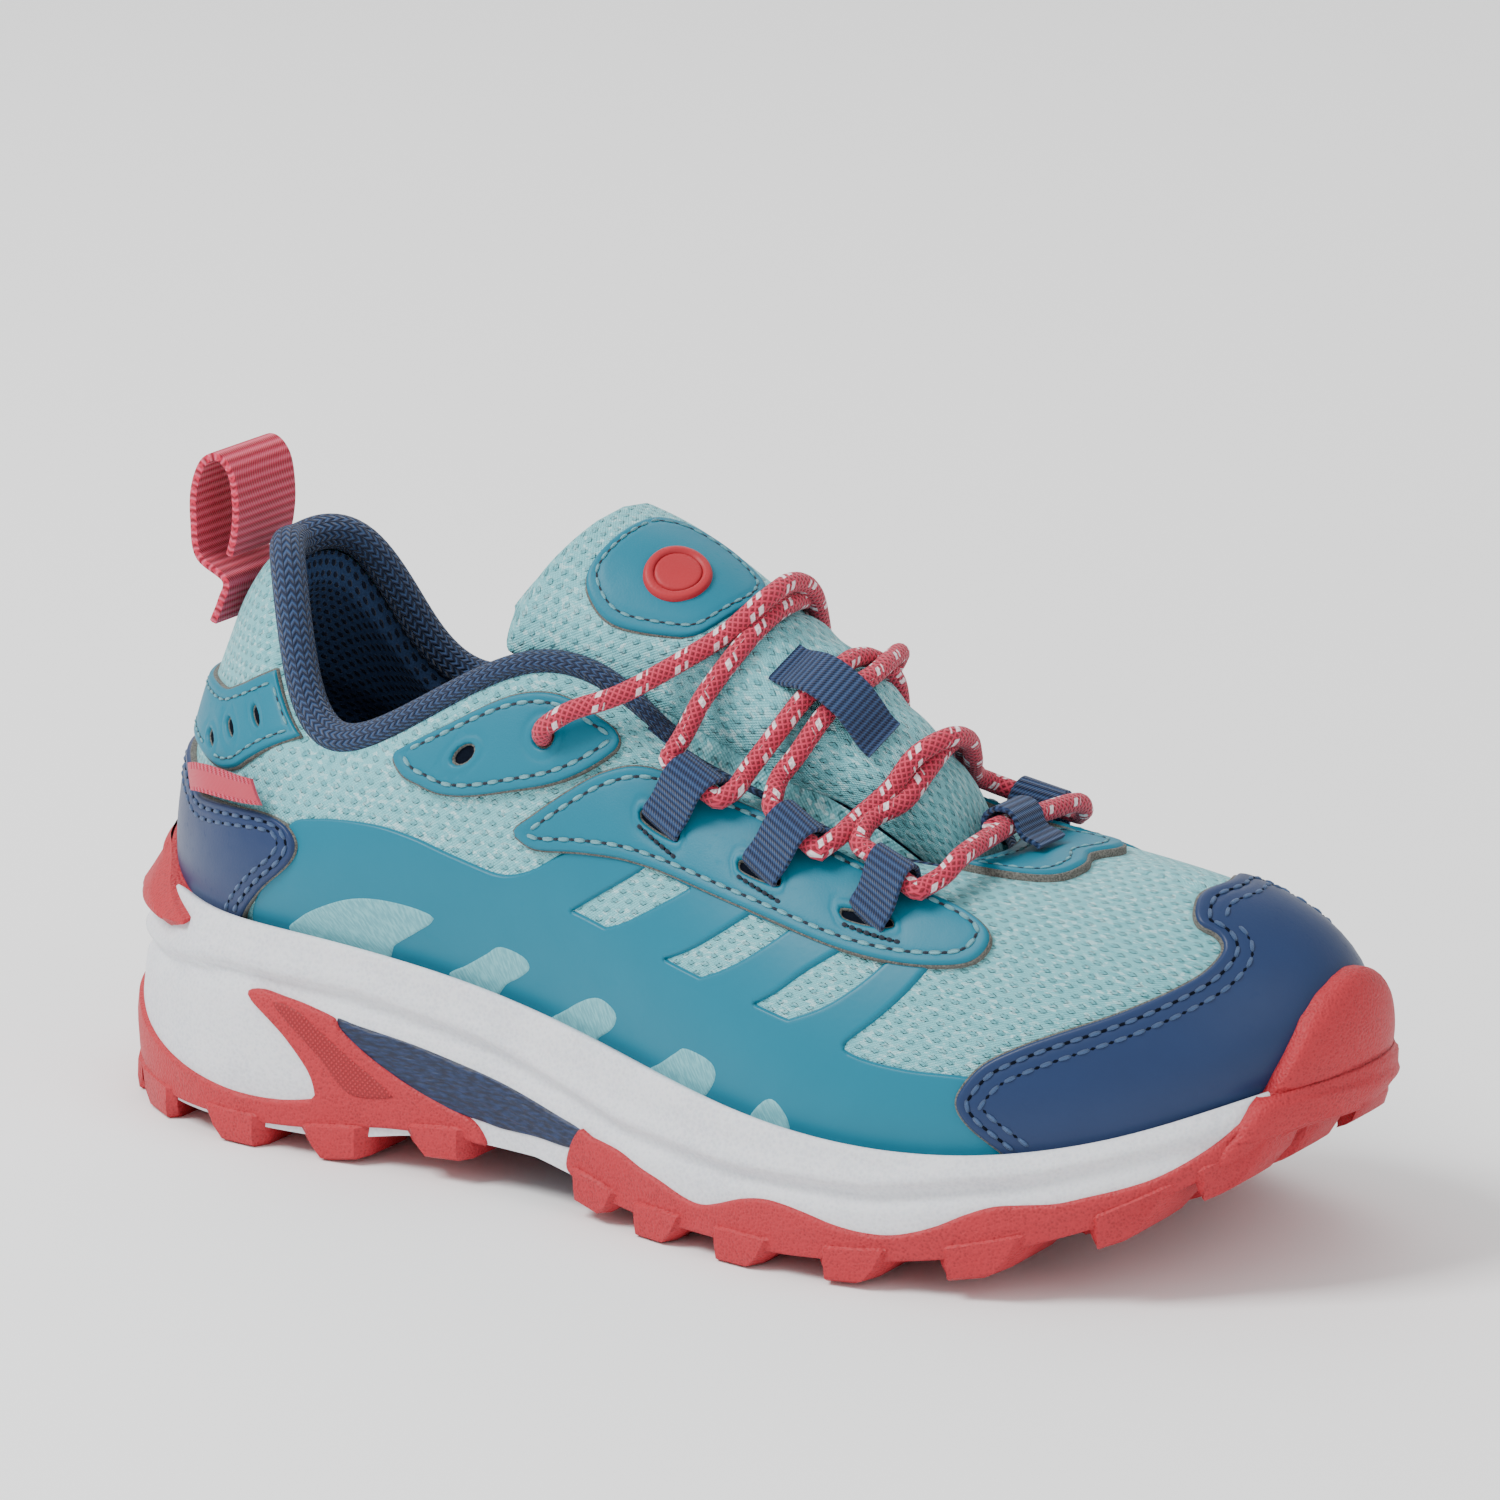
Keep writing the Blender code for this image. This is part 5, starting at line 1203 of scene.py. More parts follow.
COUNTER_HALF = [
    (0, 46), (5, 45), (9, 43.5), (11, 42.6), (13, 46), (16, 53.5), (18.3, 59), (20, 61), (21.3, 60),
    (22.3, 55.5), (22.6, 50), (22.3, 44), (21.6, 38), (20.4, 30), (19, 20), (17.5, 9), (17, 2), (17, 2),
    (8, 2), (0, 2)]
BAND_HALF = [
    (0, 65), (5, 65), (9, 69), (11, 77), (12.6, 88), (13.7, 97), (13.7, 97), (18.8, 97), (18.8, 97),
    (17.4, 88), (16, 78), (15, 70), (13.8, 61), (11.8, 54.5), (8, 50.5), (0, 49)]
BAND_SLOTS = [(14, 81), (12, 67.5), (10.1, 57.5)]
THROAT = [
    (88, 96), (89.5, 88), (92, 84), (96, 85), (100, 87.5), (104, 85), (108, 84), (110.5, 88), (112, 96),
    (106, 98.5), (100, 98.8), (94, 98.5)]
# Each lace loop, from its slot to the middle of its fold, and which way the lace runs in it: (u, v).
LOOPS = [((51.0, 73.0), (54.2, 88.8), (5.6, -3.5)), ((62.2, 73.0), (66.1, 86.8), (4.7, -6.5)),
         ((72.3, 70.0), (76.2, 82.0), (2.7, -9.0))]
LACE_IN_LOOP = 4.1
# The ankle overlay's two eyelets: the one behind stays open, and the lace goes in at the other.
OPEN_EYELET, EYELET = (33.2, 78), (38.8, 80.5)
TEAL_SET = [OVERLAY, EDGE, PALE, DARK]
NAVY_SET = [NAVY_SKIN, EDGE, STEEL, HOLE]


def slot(u, v, width, height):
    """A small rounded slot in (u, v)."""
    a, b = width / 2, height / 2
    steps = [(-1, -0.6), (-0.5, -1), (0.5, -1), (1, -0.6), (1, 0.6), (0.5, 1), (-0.5, 1), (-1, 0.6)]
    return [(u + a * x, v + b * y) for x, y in steps]


def oval(u, v, width, height, count=12):
    """An oval in a surface's two coordinates."""
    angles = np.linspace(0, 2 * math.pi, count, endpoint=False)
    return [(u + width / 2 * math.cos(a), v + height / 2 * math.sin(a)) for a in angles]


def whole(half):
    """A half outline that starts and ends on the shoe's middle, joined to its mirror image."""
    middle = half[0][0]
    return half + [(2 * middle - u, v) for u, v in reversed(half[1:-1])]


def make_cloth():
    """The cloth all round, puffed over the collar's foam. Its weave runs on round the heel."""
    us, vs = np.linspace(0, 200, 420, endpoint=False), np.linspace(0, 100, 71)
    uu, vv = np.meshgrid(us, vs, indexing="ij")
    w = from_heel(uu)
    puff = 0.5 * bump_at(vv, 86, 9) * (1 - ease(w, 26, 36))
    dip = 0.35 * bump_at(vv, 99, 2.5) * (1 - ease(w, 34, 44))
    points = offset(upper, uu, vv, -0.35 + puff - dip)
    faces, corners = grid(points, closed_rows=True)
    wrapped = np.concatenate([points, points[:1]])
    x, side, z = wrapped[..., 0], np.abs(wrapped[..., 1]), wrapped[..., 2]
    w = from_heel(np.append(us, 200.0))[:, None]
    round_heel = (np.minimum(side, 22) - 22) * (w < 50)
    chart = np.stack([x + round_heel, z - (side - 30) * ease(w, 20, 60)], axis=-1)
    build("upper_cloth", points.reshape(-1, 3), faces, [CLOTH], chart=chart[corners[:, 0], corners[:, 1]],
          nodes=("upper_mesh", "heel_stiffener", "toe_puff"))


def padding(u, v):
    """How much further in the lining lies, over the collar's foam and over the two stiffeners."""
    w = from_heel(u)
    collar = 4.2 * (1 - ease(w, 20, 34)) * ease(v, 52, 68)
    heel = 1.6 * (1 - ease(w, 24, 30)) * (1 - ease(v, 50, 66))
    toe = 1.6 * ease(w, 72, 80) * (1 - ease(v, 46, 60))
    return collar + heel + toe


def make_lining():
    us, vs = np.linspace(0, 200, 260, endpoint=False), np.linspace(2, 99.5, 46)
    uu, vv = np.meshgrid(us, vs, indexing="ij")
    rim = ease(vv, 93, 99.5)
    depth = -2.75 - padding(uu, vv) * (1 - 0.75 * rim)
    points = offset(upper, uu, vv, depth)
    faces, corners = flipped(*grid(points, closed_rows=True))
    chart = read_chart(corners, np.linspace(0, 520, 261), vs * 0.75)
    collar = build("padded_lining", points.reshape(-1, 3), faces, [MESH], chart=chart,
                   nodes=("lining", "collar_foam"))


def make_insole():
    us, across = np.linspace(0, 100, 61), np.linspace(-1, 1, 21)
    floor = upper(us, 0 * us)[:, 2]
    outer, inner = (plan(side, -5.2 + 0 * side, floor) for side in (us, 200 - us))
    share = (across[None, :, None] + 1) / 2
    rows = outer[:, None] * (1 - share) + inner[:, None] * share
    dish = 3.7 + 1.2 * np.abs(across) ** 3 * (1 - ease(us[:, None], 55, 75))
    rows[..., 2] = floor[:, None] + dish
    faces, corners = grid(rows)
    chart = rows[corners[:, 0], corners[:, 1]][:, :2]
    sock = build("insole_top", rows.reshape(-1, 3), faces, [INSOLE_CLOTH], chart=chart,
                 nodes=("insole", "insole_board"))


def make_collar_roll():
    """The knitted roll round the ankle opening, thick at the back and slim towards the laces."""
    u = np.linspace(-50, 50, 190)
    w = np.abs(u)
    radius = 2.9 - 0.9 * ease(w, 18, 36) - 0.5 * ease(w, 42, 50)
    edge = upper(u, 0 * u + 100)
    normal = offset(upper, u, 0 * u + 100, 1.0) - edge
    along = upper(u + 0.2, 0 * u + 100) - upper(u - 0.2, 0 * u + 100)
    rise = unit(np.cross(normal, along))
    centre = edge + normal * (0.9 - radius)[:, None] + rise * (radius - 0.3)[:, None]
    roll = tube("collar_knit", centre, radius * 1.08, [KNIT], sides=28, nodes=("collar_roll",))
    for side, start in (("lateral", 48), ("medial", 152)):
        u = np.linspace(start, 100, 90)
        tube("throat_binding_" + side, offset(upper, u, 0 * u + 99.6, -0.9), 0.95, [KNIT], sides=10)


def make_sewn_pieces():
    for side, flip in (("lateral", list), ("medial", mirrored)):
        sewn("film_skin_" + side, flip(FILM), [FILM_SKIN, FILM_SKIN, PALE, DARK, INLAY_SKIN], -0.6, 0.3,
             [flip(window) for window in FILM_WINDOWS], rows=(), inlays=[flip(inlay) for inlay in INLAYS],
             nodes=("film_" + side,))
        slots = [flip(slot(u, v, 4.4, 4)) for (u, v), _, _ in LOOPS]
        sewn("eyestay_skin_" + side, flip(EYESTAY), TEAL_SET, holes=slots, nodes=("eyestay_" + side,),
             swell=0.15)
        eyelets = [flip(oval(*OPEN_EYELET, 1.55, 6.6)), flip(oval(*EYELET, 1.7, 7.0))]
        sewn("ankle_skin_" + side, flip(ANKLE), TEAL_SET, holes=eyelets, nodes=("ankle_overlay_" + side,))
    sewn("toe_cap_skin", whole(TOE_CAP_HALF), NAVY_SET, rows=(1.9, 4.2), nodes=("toe_cap",), pitch=3.0)
    sewn("heel_counter_skin", whole(COUNTER_HALF), NAVY_SET, rows=(1.9, 4.2), nodes=("heel_counter_overlay",))
    slots = [slot(side * u, v, 1.3, 3.4) for side in (1, -1) for u, v in BAND_SLOTS]
    sewn("heel_band_skin", whole(BAND_HALF), TEAL_SET, high=1.0, holes=slots, nodes=("heel_band",),
         thread_size=(1.8, 0.9, 0.28), rows=(1.7,))
    sewn("throat_skin", THROAT, TEAL_SET, high=1.6, nodes=("throat_overlay",), rows=(1.6,),
         thread_size=(1.8, 0.9, 0.3))


# A lace loop from its slot on: (share of the way to its fold, height over the upper).
LOOP_PATH = [
    (-0.03, -0.3), (0.02, 1.2), (0.1, 2.1), (0.2, 2.3), (0.34, 2.7), (0.48, 3.6), (0.62, 4.9), (0.76, 6.2),
    (0.92, 6.9), (1.07, 6.9), (1.24, 6.1), (1.36, 4.6), (1.42, 2.6), (1.4, 0.6)]
# The loop on the throat, in the shoe's middle: (x, z).
THROAT_LOOP = [
    (178.6, 67.0), (177.6, 67.6), (175.6, 68.3), (174.6, 69.6), (174.1, 71.2), (172.7, 72.6), (170.4, 72.7),
    (168.6, 71.5), (168.1, 69.6), (168.7, 67.4)]
LOOP_WIDTH, LOOP_THICKNESS = 8.6, 0.95


def in_middle(line):
    """Points in the shoe's middle, from their x and z."""
    return right_foot([(x, 0, z) for x, z in line])


def make_hole_shade_sheets():
    """Painted shade: dark sheets inside the open eyelets and the slots in the heel band and the eyestays."""
    parts = Parts()
    for flip in (list, mirrored):
        shapes = [oval(*OPEN_EYELET, 1.9, 7.8), oval(*EYELET, 2.0, 8.0)]
        shapes += [slot(u, v, 1.7, 4.6) for u, v in BAND_SLOTS]
        shapes += [slot(u, v, 4.8, 5.0) for (u, v), _, _ in LOOPS]
        for shape in shapes:
            loop = smooth_outline(upper, flip(shape), 0.8)
            add_sheet(parts, upper, [loop], -0.3, 0.25, slot=0, edge_slot=0, thin=0.05)
    parts.build("hole_shade_sheets", [HOLE])


def make_lace_loops():
    fine, keys = np.linspace(0, 1, 34), np.linspace(0, 1, len(LOOP_PATH))
    share, height = (np.interp(fine, keys, line) for line in np.array(LOOP_PATH).T)
    height = np.convolve(np.pad(height, 1, mode="edge"), [0.25, 0.5, 0.25], mode="valid")
    for side in ("lateral", "medial"):
        for number, (start, fold, (du, dv)) in enumerate(LOOPS, 1):
            u, v = (start[k] + share * (fold[k] - start[k]) for k in (0, 1))
            if side == "medial":
                u, du = 200 - u, -du
            sideways = unit(upper(u + 0.1 * du, v + 0.1 * dv) - upper(u - 0.1 * du, v - 0.1 * dv))
            band(f"lace_webbing_{side}_{number}", offset(upper, u, v, height), sideways, LOOP_WIDTH,
                 LOOP_THICKNESS, NAVY_WEBBING, nodes=(f"lace_loop_{side}_{number}",))
            make_bar_stitch(side, number, start)
    band("throat_webbing", spline_path(in_middle(THROAT_LOOP), 30), (0, 1, 0), LOOP_WIDTH, LOOP_THICKNESS,
         NAVY_WEBBING, nodes=("throat_loop",))


def make_bar_stitch(side, number, start):
    """A dense bar of thread under each webbing slot."""
    ends = [(start[0] + 2.3 * share, start[1] - 4.4 - 1.3 * share) for share in (-1, 1)]
    if side == "medial":
        ends = [(200 - u, v) for u, v in ends]
    parts = Parts()
    add_stitches(parts, upper, [np.linspace(*ends, 8) * SIZES[upper]], 1.3, 0, 1, 1.1, 0.25, 0.42)
    parts.build(f"bar_stitch_{side}_{number}", [DARK, HOLE])


# ---------------------------------------------------------------- the tongue

# The patch's outline on the tongue: (position, place across).
TONGUE_PATCH = [
    (0.9, 0.05), (0.905, 0.3), (0.89, 0.5), (0.84, 0.61), (0.78, 0.64), (0.7, 0.56), (0.655, 0.46),
    (0.635, 0.25), (0.63, 0.05), (0.66, -0.12), (0.74, -0.2), (0.83, -0.16), (0.88, -0.06)]
EMBLEM_MIDDLE, EMBLEM_SIZE, EMBLEM_RIM = (0.757, 0.26), (0.116, 0.34), 0.72
# The lace keeper lies along the tongue, to the outer side: (position, height).
KEEPER_ACROSS = 0.31
KEEPER = [
    (0.355, 4.5), (0.37, 4.6), (0.385, 6.0), (0.408, 8.2), (0.43, 9.0), (0.46, 9.0), (0.482, 8.2),
    (0.502, 6.0), (0.515, 4.6), (0.53, 4.5)]
# Where the laces cross the tongue and press it in.
LACE_ROWS = [0.30, 0.45, 0.475, 0.595]
TONGUE_LENGTH = 118


def make_tongue():
    """The padded tongue: a crowned pad that is pinched under the laces and rolls over at its rim."""
    s = np.linspace(0.0, 1.0, 150)
    turn = np.linspace(0, 2 * math.pi, 88, endpoint=False)
    wide = np.sign(np.cos(turn)) * np.abs(np.cos(turn)) ** 0.55
    side = np.sin(turn)
    pinch = sum(bump_at(s, row, 0.014) for row in LACE_ROWS)
    folds = np.sin(s * 2 * math.pi / 0.068) * ease(s, 0.3, 0.4) * (1 - ease(s, 0.57, 0.63))
    sections = []
    for place, squeeze, fold in zip(s, pinch, folds):
        top_end = math.sqrt(max(0.0, 1 - ease(place, 0.965, 1.0) ** 2 * 0.97))
        reach = 0.82 + 0.08 * ease(place, 0.34, 0.46) + 0.09 * ease(place, 0.62, 0.8)
        reach *= 1 - 0.2 * ease(place, 0.94, 1.0) ** 2
        across = wide * reach
        crown = 1 - 0.75 * ease(np.abs(across), 0.6 * reach, reach)
        tall = TONGUE_THICK + 0.1 - 0.5 * squeeze + 0.22 * fold * (np.abs(across) < 0.8)
        tall = tall * ease(place, 0.1, 0.26) + 0.7 * ease(place, 0.36, 0.46)
        tall = tall * (0.35 + 0.65 * crown) * top_end
        swelling = np.abs(side) ** 0.6
        height = 0.4 + swelling * np.where(side > 0, tall, -0.9 * top_end)
        sections.append(offset(tongue, place + 0 * across, across, height))
    sections = np.array(sections)
    faces, corners = flipped(*grid(sections, closed_columns=True))
    girth = run_length(np.vstack([sections[80], sections[80][:1]]))
    chart = read_chart(corners, s * TONGUE_LENGTH, girth)
    count, sides = len(s) * len(turn), len(turn)
    ends = [list(range(sides))[::-1], list(range(count - sides, count))]
    chart = np.vstack([chart, np.zeros((2 * sides, 2))])
    under = [1 if math.sin(turn[j % sides] + 0.03) < 0.05 else 0 for j in corners[::4, 1]] + [1, 1]
    pad = build("tongue_pad", sections.reshape(-1, 3), faces + ends, [CLOTH, MESH], body="tongue",
                chart=chart, slots=under, nodes=("tongue_shell", "tongue_lining"))


def anywhere(line):
    return np.ones(len(line), bool)


def make_tongue_trim():
    """The patch with its oval badge, and the keeper that holds the laces."""
    wide, high = EMBLEM_SIZE
    top = TONGUE_THICK + 1.0
    sewn("tongue_patch_skin", TONGUE_PATCH, TEAL_SET, top - 1.6, top + 0.7, surface=tongue, rows=(1.7,),
         keep=anywhere, thread_size=(1.8, 0.9, 0.3), body="tongue", nodes=("tongue_patch",))
    rim, inner = (smooth_outline(tongue, oval(*EMBLEM_MIDDLE, share * wide, share * high, 14), 0.7)
                  for share in (1, EMBLEM_RIM))
    parts = Parts()
    add_sheet(parts, tongue, [rim, inner], top + 0.4, top + 1.6, edge_slot=0, thin=0.1, pitch=1.5)
    add_sheet(parts, tongue, [inner], top + 0.3, top + 1.35, edge_slot=0, thin=0.02)
    parts.build("tongue_badge", [EMBLEM_SKIN], body="tongue", nodes=("tongue_emblem",))
    fine, keys = np.linspace(0, 1, 40), np.linspace(0, 1, len(KEEPER))
    s, height = (np.interp(fine, keys, line) for line in np.array(KEEPER).T)
    height = np.convolve(np.pad(height, 2, mode="edge"), np.ones(5) / 5, mode="valid")
    place = 0 * s + KEEPER_ACROSS
    sideways = unit(tongue(s, place - 0.05) - tongue(s, place + 0.05))
    band("tongue_keeper_webbing", offset(tongue, s, place, height), sideways, 9.0, 1.0, NAVY_WEBBING,
         body="tongue", nodes=("tongue_keeper",))


def make_gussets():
    """The thin cloth folds that join the tongue's edges to the inside of the shoe."""
    s, fold = np.linspace(0.1, 0.78, 60), np.linspace(0, 1, 12)
    for side, sign in (("lateral", 1), ("medial", -1)):
        top = offset(tongue, s, 0 * s + 0.84 * sign, 0.9)
        us = np.linspace(34, 98, 400)
        us = us if sign == 1 else 200 - us
        line = offset(upper, us, 0 * us + 90, -3.2)
        line = line[np.argsort(line[:, 0])]
        low = read_path(top[:, 0] + 1.5, line[:, 0], line)
        share = fold[None, :, None]
        rows = top[:, None] * (1 - share) + low[:, None] * share
        waves = 0.5 * np.sin(s * 2 * math.pi / 0.07)[:, None] * np.sin(math.pi * fold)[None]
        rows[..., 2] -= 2.6 * np.sin(math.pi * fold)[None] + waves
        faces, corners = grid(rows)
        if sign == 1:
            faces, corners = flipped(faces, corners)
        chart = read_chart(corners, s * TONGUE_LENGTH, fold * 10)
        build("tongue_gusset_" + side, rows.reshape(-1, 3), faces, [CLOTH], chart=chart,
              bend=[world(place) for place in STRETCH])


# ---------------------------------------------------------------- laces, pull tab and label

# The lace's height over the tongue, and how much higher it lies where it crosses another run.
OVER = TONGUE_THICK + 0.4 + LACE_RADIUS + 0.4
CROSS = 2 * LACE_RADIUS + 0.3
# Each stop of the lace is (surface, its two coordinates, height above it), on the outer side.
TO_EYELET = [(tongue, 0.6, 0.18, OVER), (tongue, 0.618, 0.4, OVER), (tongue, 0.66, 0.68, OVER),
             (upper, 44.8, 98.5, 5.2), (upper, 41.6, 89, 5.0), (upper, 39.6, 83.2, 4.2),
             (upper, *EYELET, 1.6), (upper, *EYELET, -2.0)]
REAR_OF_1 = [(tongue, 0.588, 0.22, OVER), (tongue, 0.586, 0.46, OVER), (tongue, 0.59, 0.7, OVER),
             (upper, 51.6, 100.5, 4.6), (upper, 51.2, 94, 4.2)]
FRONT_OF_1 = [(upper, 57.6, 87, LACE_IN_LOOP), (upper, 59, 92, 4.3), (upper, 59.6, 99.5, 4.6),
              (tongue, 0.477, 0.66, OVER), (tongue, 0.473, 0.43, OVER), (tongue, 0.468, 0.2, OVER)]
REAR_OF_2 = [(upper, 63.2, 93, 4.2), (upper, 63.0, 101, 4.8), (tongue, 0.437, 0.68, OVER),
             (tongue, 0.436, 0.44, OVER), (tongue, 0.434, 0.2, OVER)]
FRONT_OF_2 = [(upper, 69.1, 84, LACE_IN_LOOP), (upper, 71.2, 90, 4.4), (upper, 73.4, 98, 5.0),
              (tongue, 0.31, 0.56, OVER), (tongue, 0.312, 0.32, OVER)]
REAR_OF_3 = [(upper, 73.4, 90, 4.1), (upper, 75.1, 98, 5.4), (tongue, 0.289, 0.56, OVER),
             (tongue, 0.292, 0.3, OVER)]
FRONT_OF_3 = [(upper, 78.2, 77.5, LACE_IN_LOOP), (upper, 80.9, 81.5, 4.2), (upper, 85, 88.5, 4.8)]
# Where the lace crosses the throat: (x, z).
THROAT_LACE = (171.2, 69.8)
# The loose end inside the shoe, from the eyelet on, and its stiff tip: (u, v, height over the upper).
TAIL = [
    (*EYELET, -3.7), (38.9, 78.3, -5.7), (39.8, 66, -6.4), (42, 48, -6.6), (46, 34, -6.8), (52, 27, -7.0),
    (60, 25, -7.0), (70, 25, -7.0), (78, 25, -7.2)]
AGLET = [(78.4, 25, -7.2), (80.2, 25, -7.3), (82.4, 25, -7.4)]
AGLET_RADIUS = 1.5


def mirror_stop(stop):
    surface, a, b, height = stop
    return (surface, 200 - a, b, height) if surface is upper else (surface, a, -b, height)


def in_loop(number):
    """The lace inside a lace loop on the outer side, from its heel end to its toe end."""
    _, (u, v), (du, dv) = LOOPS[number - 1]
    return [(upper, u + share * du, v + share * dv, LACE_IN_LOOP) for share in (-0.55, 0.0, 0.55)]


def raised(stops, places):
    """The same stops, with the listed ones a lace's thickness higher."""
    return [(*stop[:3], stop[3] + CROSS) if i in places else stop for i, stop in enumerate(stops)]


def points_of(stops):
    return [offset(surface, a, b, height) for surface, a, b, height in stops]


def other_side(stops):
    return [mirror_stop(stop) for stop in stops]


def lace_path():
    """The laced run: in at the outer ankle eyelet, down to the throat and back to the inner eyelet."""
    over_3 = [(tongue, 0.602, -0.02, OVER + CROSS), (tongue, 0.594, -0.24, OVER + 1.6)]
    under_3 = [(tongue, 0.592, 0.0, OVER), (tongue, 0.602, -0.22, OVER)]
    first = TO_EYELET[::-1][:-1] + raised(TO_EYELET[:1], {0}) + over_3
    first += other_side(REAR_OF_1[2:] + in_loop(1) + FRONT_OF_1[:4])
    first += [(tongue, 0.468, -0.44, OVER + CROSS), (tongue, 0.446, -0.2, OVER + 1.2),
              (tongue, 0.434, 0.0, OVER)]
    first += REAR_OF_2[::-1] + in_loop(2) + FRONT_OF_2[:-1]
    first += [(tongue, 0.312, 0.32, OVER + 2.2), (tongue, 0.304, 0.1, OVER + CROSS),
              (tongue, 0.296, -0.14, OVER + 2.2), (tongue, 0.29, -0.4, OVER)]
    first += other_side(REAR_OF_3[:2][::-1] + in_loop(3) + FRONT_OF_3)
    throat = [right_foot([THROAT_LACE[0], -y, THROAT_LACE[1]]) for y in (-6.0, 0.0, 6.0)]
    second = FRONT_OF_3[::-1] + in_loop(3)[::-1] + REAR_OF_3
    second += [(tongue, 0.3, 0.06, OVER), (tongue, 0.308, -0.2, OVER), (tongue, 0.312, -0.5, OVER)]
    second += other_side(FRONT_OF_2[:3][::-1] + in_loop(2)[::-1] + REAR_OF_2[:3])
    second += [(tongue, 0.446, -0.44, OVER), (tongue, 0.462, -0.2, OVER), (tongue, 0.47, 0.0, OVER)]
    second += FRONT_OF_1[::-1] + in_loop(1)[::-1] + REAR_OF_1[::-1] + under_3
    second += other_side(TO_EYELET[1:])
    return np.vstack(points_of(first) + throat + points_of(second))


def world(point):
    """A point of the drawing in the frame's metres."""
    return tuple(float(value) for value in (np.asarray(point) - ORIGIN) * MM)


def make_laces():
    path = spline_path(lace_path(), 1000)
    tube("lace_run", path, LACE_RADIUS, [BRAID], nodes=("lace",), bend=[world(place) for place in STRETCH])
    for side, flip in (("lateral", list), ("medial", other_side)):
        tip_path, tail_path = (spline_path(points_of(flip([(upper, *stop) for stop in stops])), count)
                               for stops, count in ((AGLET, 12), (TAIL, 120)))
        tip = tube("aglet_tip_" + side, tip_path, AGLET_RADIUS, [TIP], nodes=("aglet_" + side,))
        tail = tube("lace_tail_" + side, tail_path, LACE_RADIUS, [BRAID], nodes=("lace_end_" + side,))


# The pull tab's fold, from the collar up and round to its back: (x, z).
PULL_TAB = [
    (9.8, 96), (8.8, 102), (9.0, 108), (11, 113), (14.2, 114.5), (17, 111.8), (17.9, 106), (17.5, 101),
    (16.4, 97)]
# The label's corners on the outer side of the heel, in (u, v): both ends of its top, then of its foot.
LABEL_TOP = np.array([(9.6, 48), (17.6, 70.5)])
LABEL_FOOT = np.array([(11.2, 43.8), (19.5, 65)])


def make_pull_tab():
    rear = [offset(upper, 0.0, v, h) for v, h in ((78, 1.3), (84, 1.5), (89, 2.6))]
    path = spline_path(rear + list(in_middle(PULL_TAB)), 90)
    band("pull_tab_webbing", path, (0, 1, 0), 18.0, 1.4, PINK_WEBBING, body="pull_tab", nodes=("pull_tab",))


def make_label():
    """A folded satin label, with a plain woven border and no words."""
    share, down = np.linspace(0, 1, 40), np.linspace(0, 1, 14)
    last_row, last_column = len(share) - 1, len(down) - 1
    along, across = share[:, None, None], down[None, :, None]
    top, foot = (ends[0] * (1 - along) + ends[1] * along for ends in (LABEL_TOP, LABEL_FOOT))
    uv = top * (1 - across) + foot * across
    height = (2.6 + 1.2 * along + 0.25 * np.sin(along * 7) + 0 * across)[..., 0]
    front, back = (offset(upper, uv[..., 0], uv[..., 1], height + h) for h in (0.4, -0.4))
    faces, corners = grid(front)
    border = (down < 0.16) | (down > 0.84)
    count = len(share) * len(down)
    rim = [(i, 0) for i in range(len(share))] + [(last_row, j) for j in range(1, len(down))]
    rim += [(i, last_column) for i in range(last_row - 1, -1, -1)]
    rim += [(0, j) for j in range(last_column - 1, 0, -1)]
    flat = [i * len(down) + j for i, j in rim]
    walls = [[flat[k], flat[k - 1], flat[k - 1] + count, flat[k] + count] for k in range(len(flat))]
    points = np.concatenate([front.reshape(-1, 3), back.reshape(-1, 3)])
    everything = faces + [[k + count for k in f[::-1]] for f in faces] + walls
    chart = read_chart(corners, share * 26, down * 9)
    chart = np.vstack([chart, chart, np.zeros((4 * len(walls), 2))])
    slots = [int(border[j] and 0.05 < share[i] < 0.95) for i, j in corners[::4]]
    slots += [0] * (len(everything) - len(slots))
    build("label_satin_tab", points, everything, [LABEL, PINK_WEBBING], body="label", chart=chart,
          slots=slots, nodes=("label",), sharp=50)


# ---------------------------------------------------------------- floor, light and camera

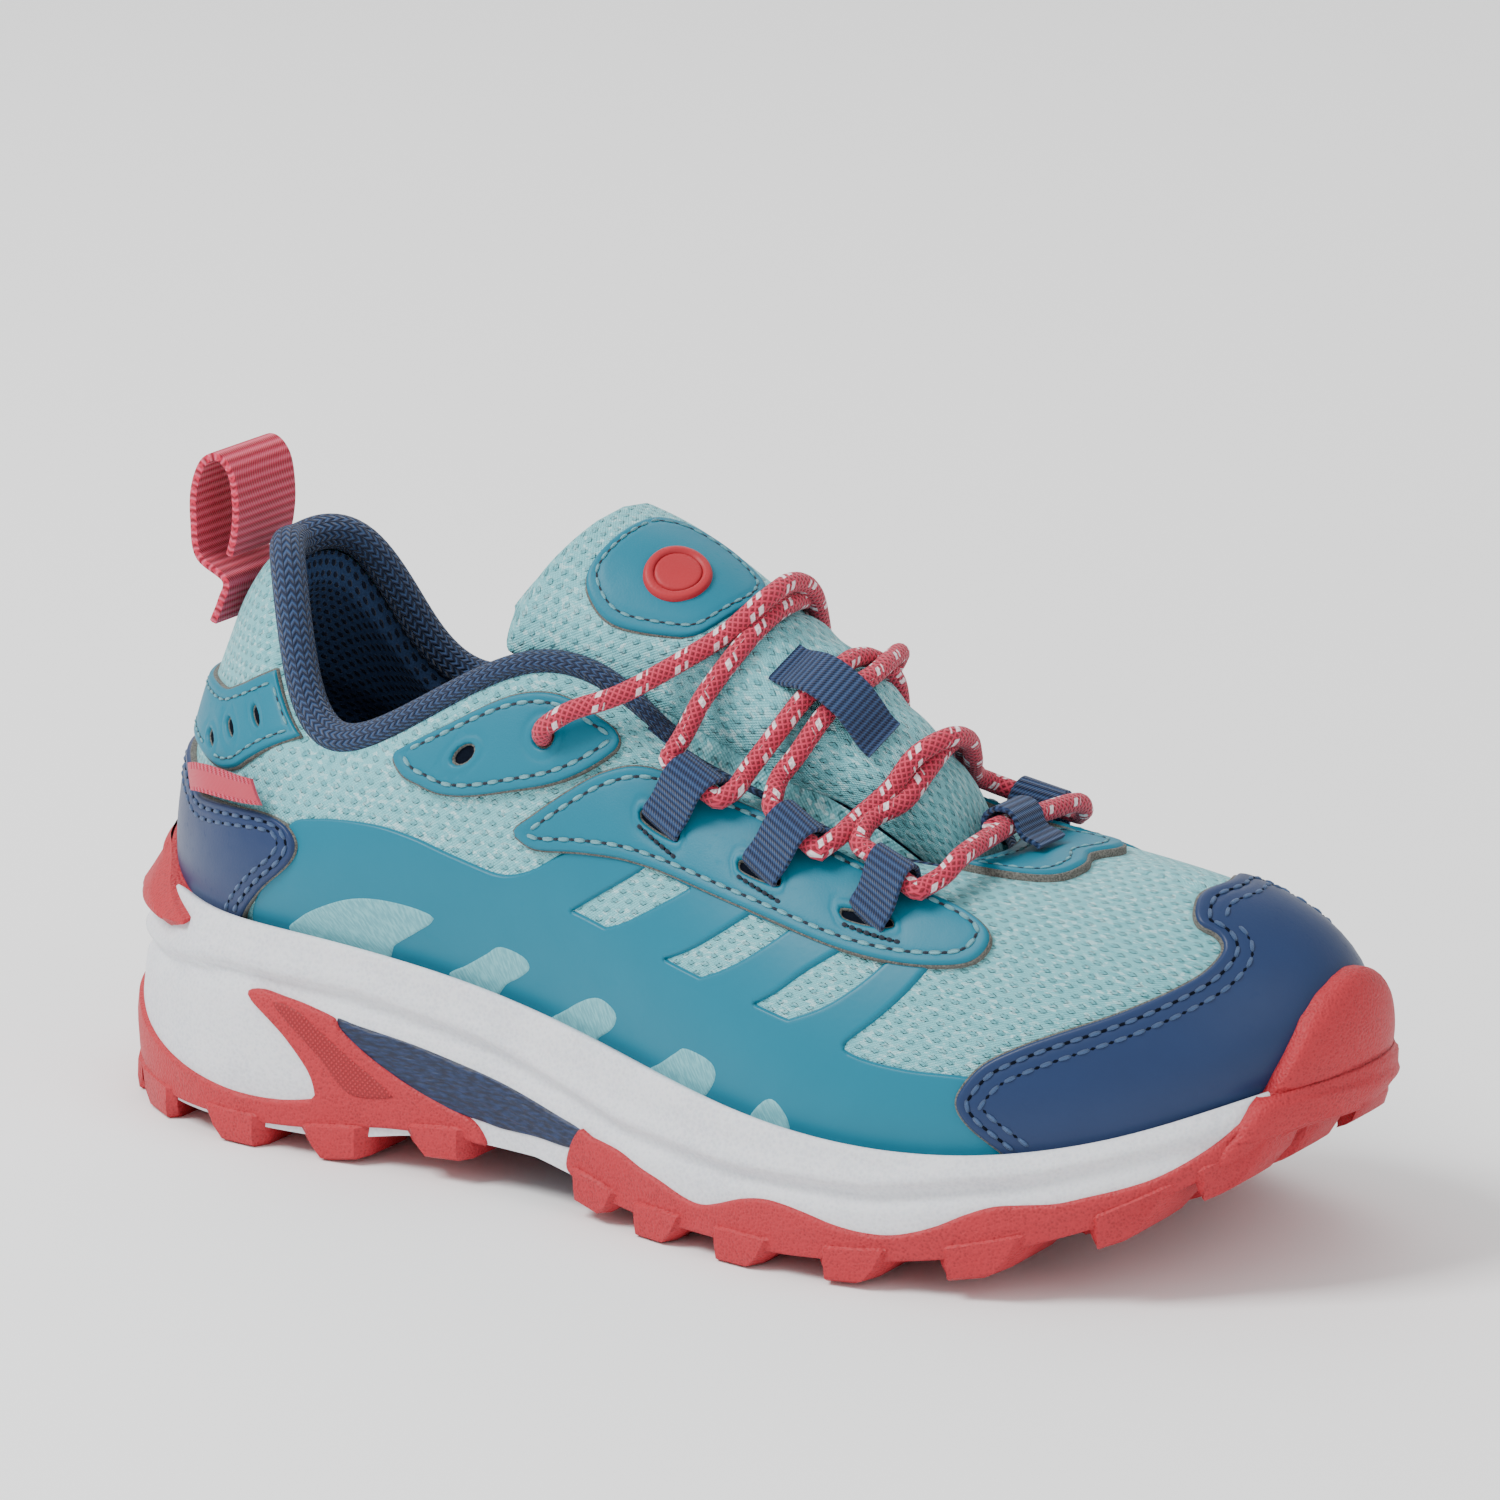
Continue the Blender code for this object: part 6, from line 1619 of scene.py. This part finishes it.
# Each light: (name, place in metres, size in metres, power in watts).
LIGHTS = [("key", (-0.6, -0.75, 1.25), 0.6, 26.0), ("fill", (1.2, -0.4, 0.8), 0.9, 3.0),
          ("back", (-0.6, 0.8, 0.9), 0.9, 4.0)]
LIT_POINT = Vector((0, 0, 0.05))
SKY_STRENGTH = 0.9
FLOOR_REACH = 30
CAMERA_LENS = 222.7
# The camera's place, and the directions of its picture's right and top and of its back.
CAMERA_PLACE = (0.81548, -1.30176, 0.50033)
CAMERA_AXES = [(0.84805, 0.52992, 0.0), (-0.14162, 0.22663, 0.96364), (0.51064, -0.81721, 0.26724)]


def make_stage():
    mesh = bpy.data.meshes.new("floor")
    square = [(x * FLOOR_REACH, y * FLOOR_REACH, 0) for x, y in ((-1, -1), (1, -1), (1, 1), (-1, 1))]
    mesh.from_pydata(square, [], [(0, 1, 2, 3)])
    mesh.materials.append(floor_finish())
    floor = bpy.data.objects.new("floor", mesh)
    bpy.context.scene.collection.objects.link(floor)
    sky = bpy.data.worlds.new("studio")
    bpy.context.scene.world = sky
    sky.use_nodes = True
    background = sky.node_tree.nodes["Background"]
    background.inputs["Color"].default_value = (1, 1, 1, 1)
    background.inputs["Strength"].default_value = SKY_STRENGTH
    for name, place, size, power in LIGHTS:
        light = bpy.data.lights.new(name, "AREA")
        light.size, light.energy = size, power
        obj = bpy.data.objects.new(name, light)
        obj.location = place
        obj.rotation_euler = (LIT_POINT - Vector(place)).to_track_quat("-Z", "Y").to_euler()
        bpy.context.scene.collection.objects.link(obj)


def make_camera():
    data = bpy.data.cameras.new("camera")
    data.lens, data.sensor_width = CAMERA_LENS, 36.0
    data.clip_start, data.clip_end = 0.01, 60
    camera = bpy.data.objects.new("camera", data)
    rows = [[*(axis[k] for axis in CAMERA_AXES), CAMERA_PLACE[k]] for k in range(3)]
    camera.matrix_world = Matrix(rows + [[0, 0, 0, 1]])
    bpy.context.scene.collection.objects.link(camera)
    bpy.context.scene.camera = camera


make_camera()
make_laces()
make_sole()
make_cloth()
make_lining()
make_insole()
make_collar_roll()
make_sewn_pieces()
make_hole_shade_sheets()
make_lace_loops()
make_tongue()
make_tongue_trim()
make_gussets()
make_pull_tab()
make_label()
make_stage()
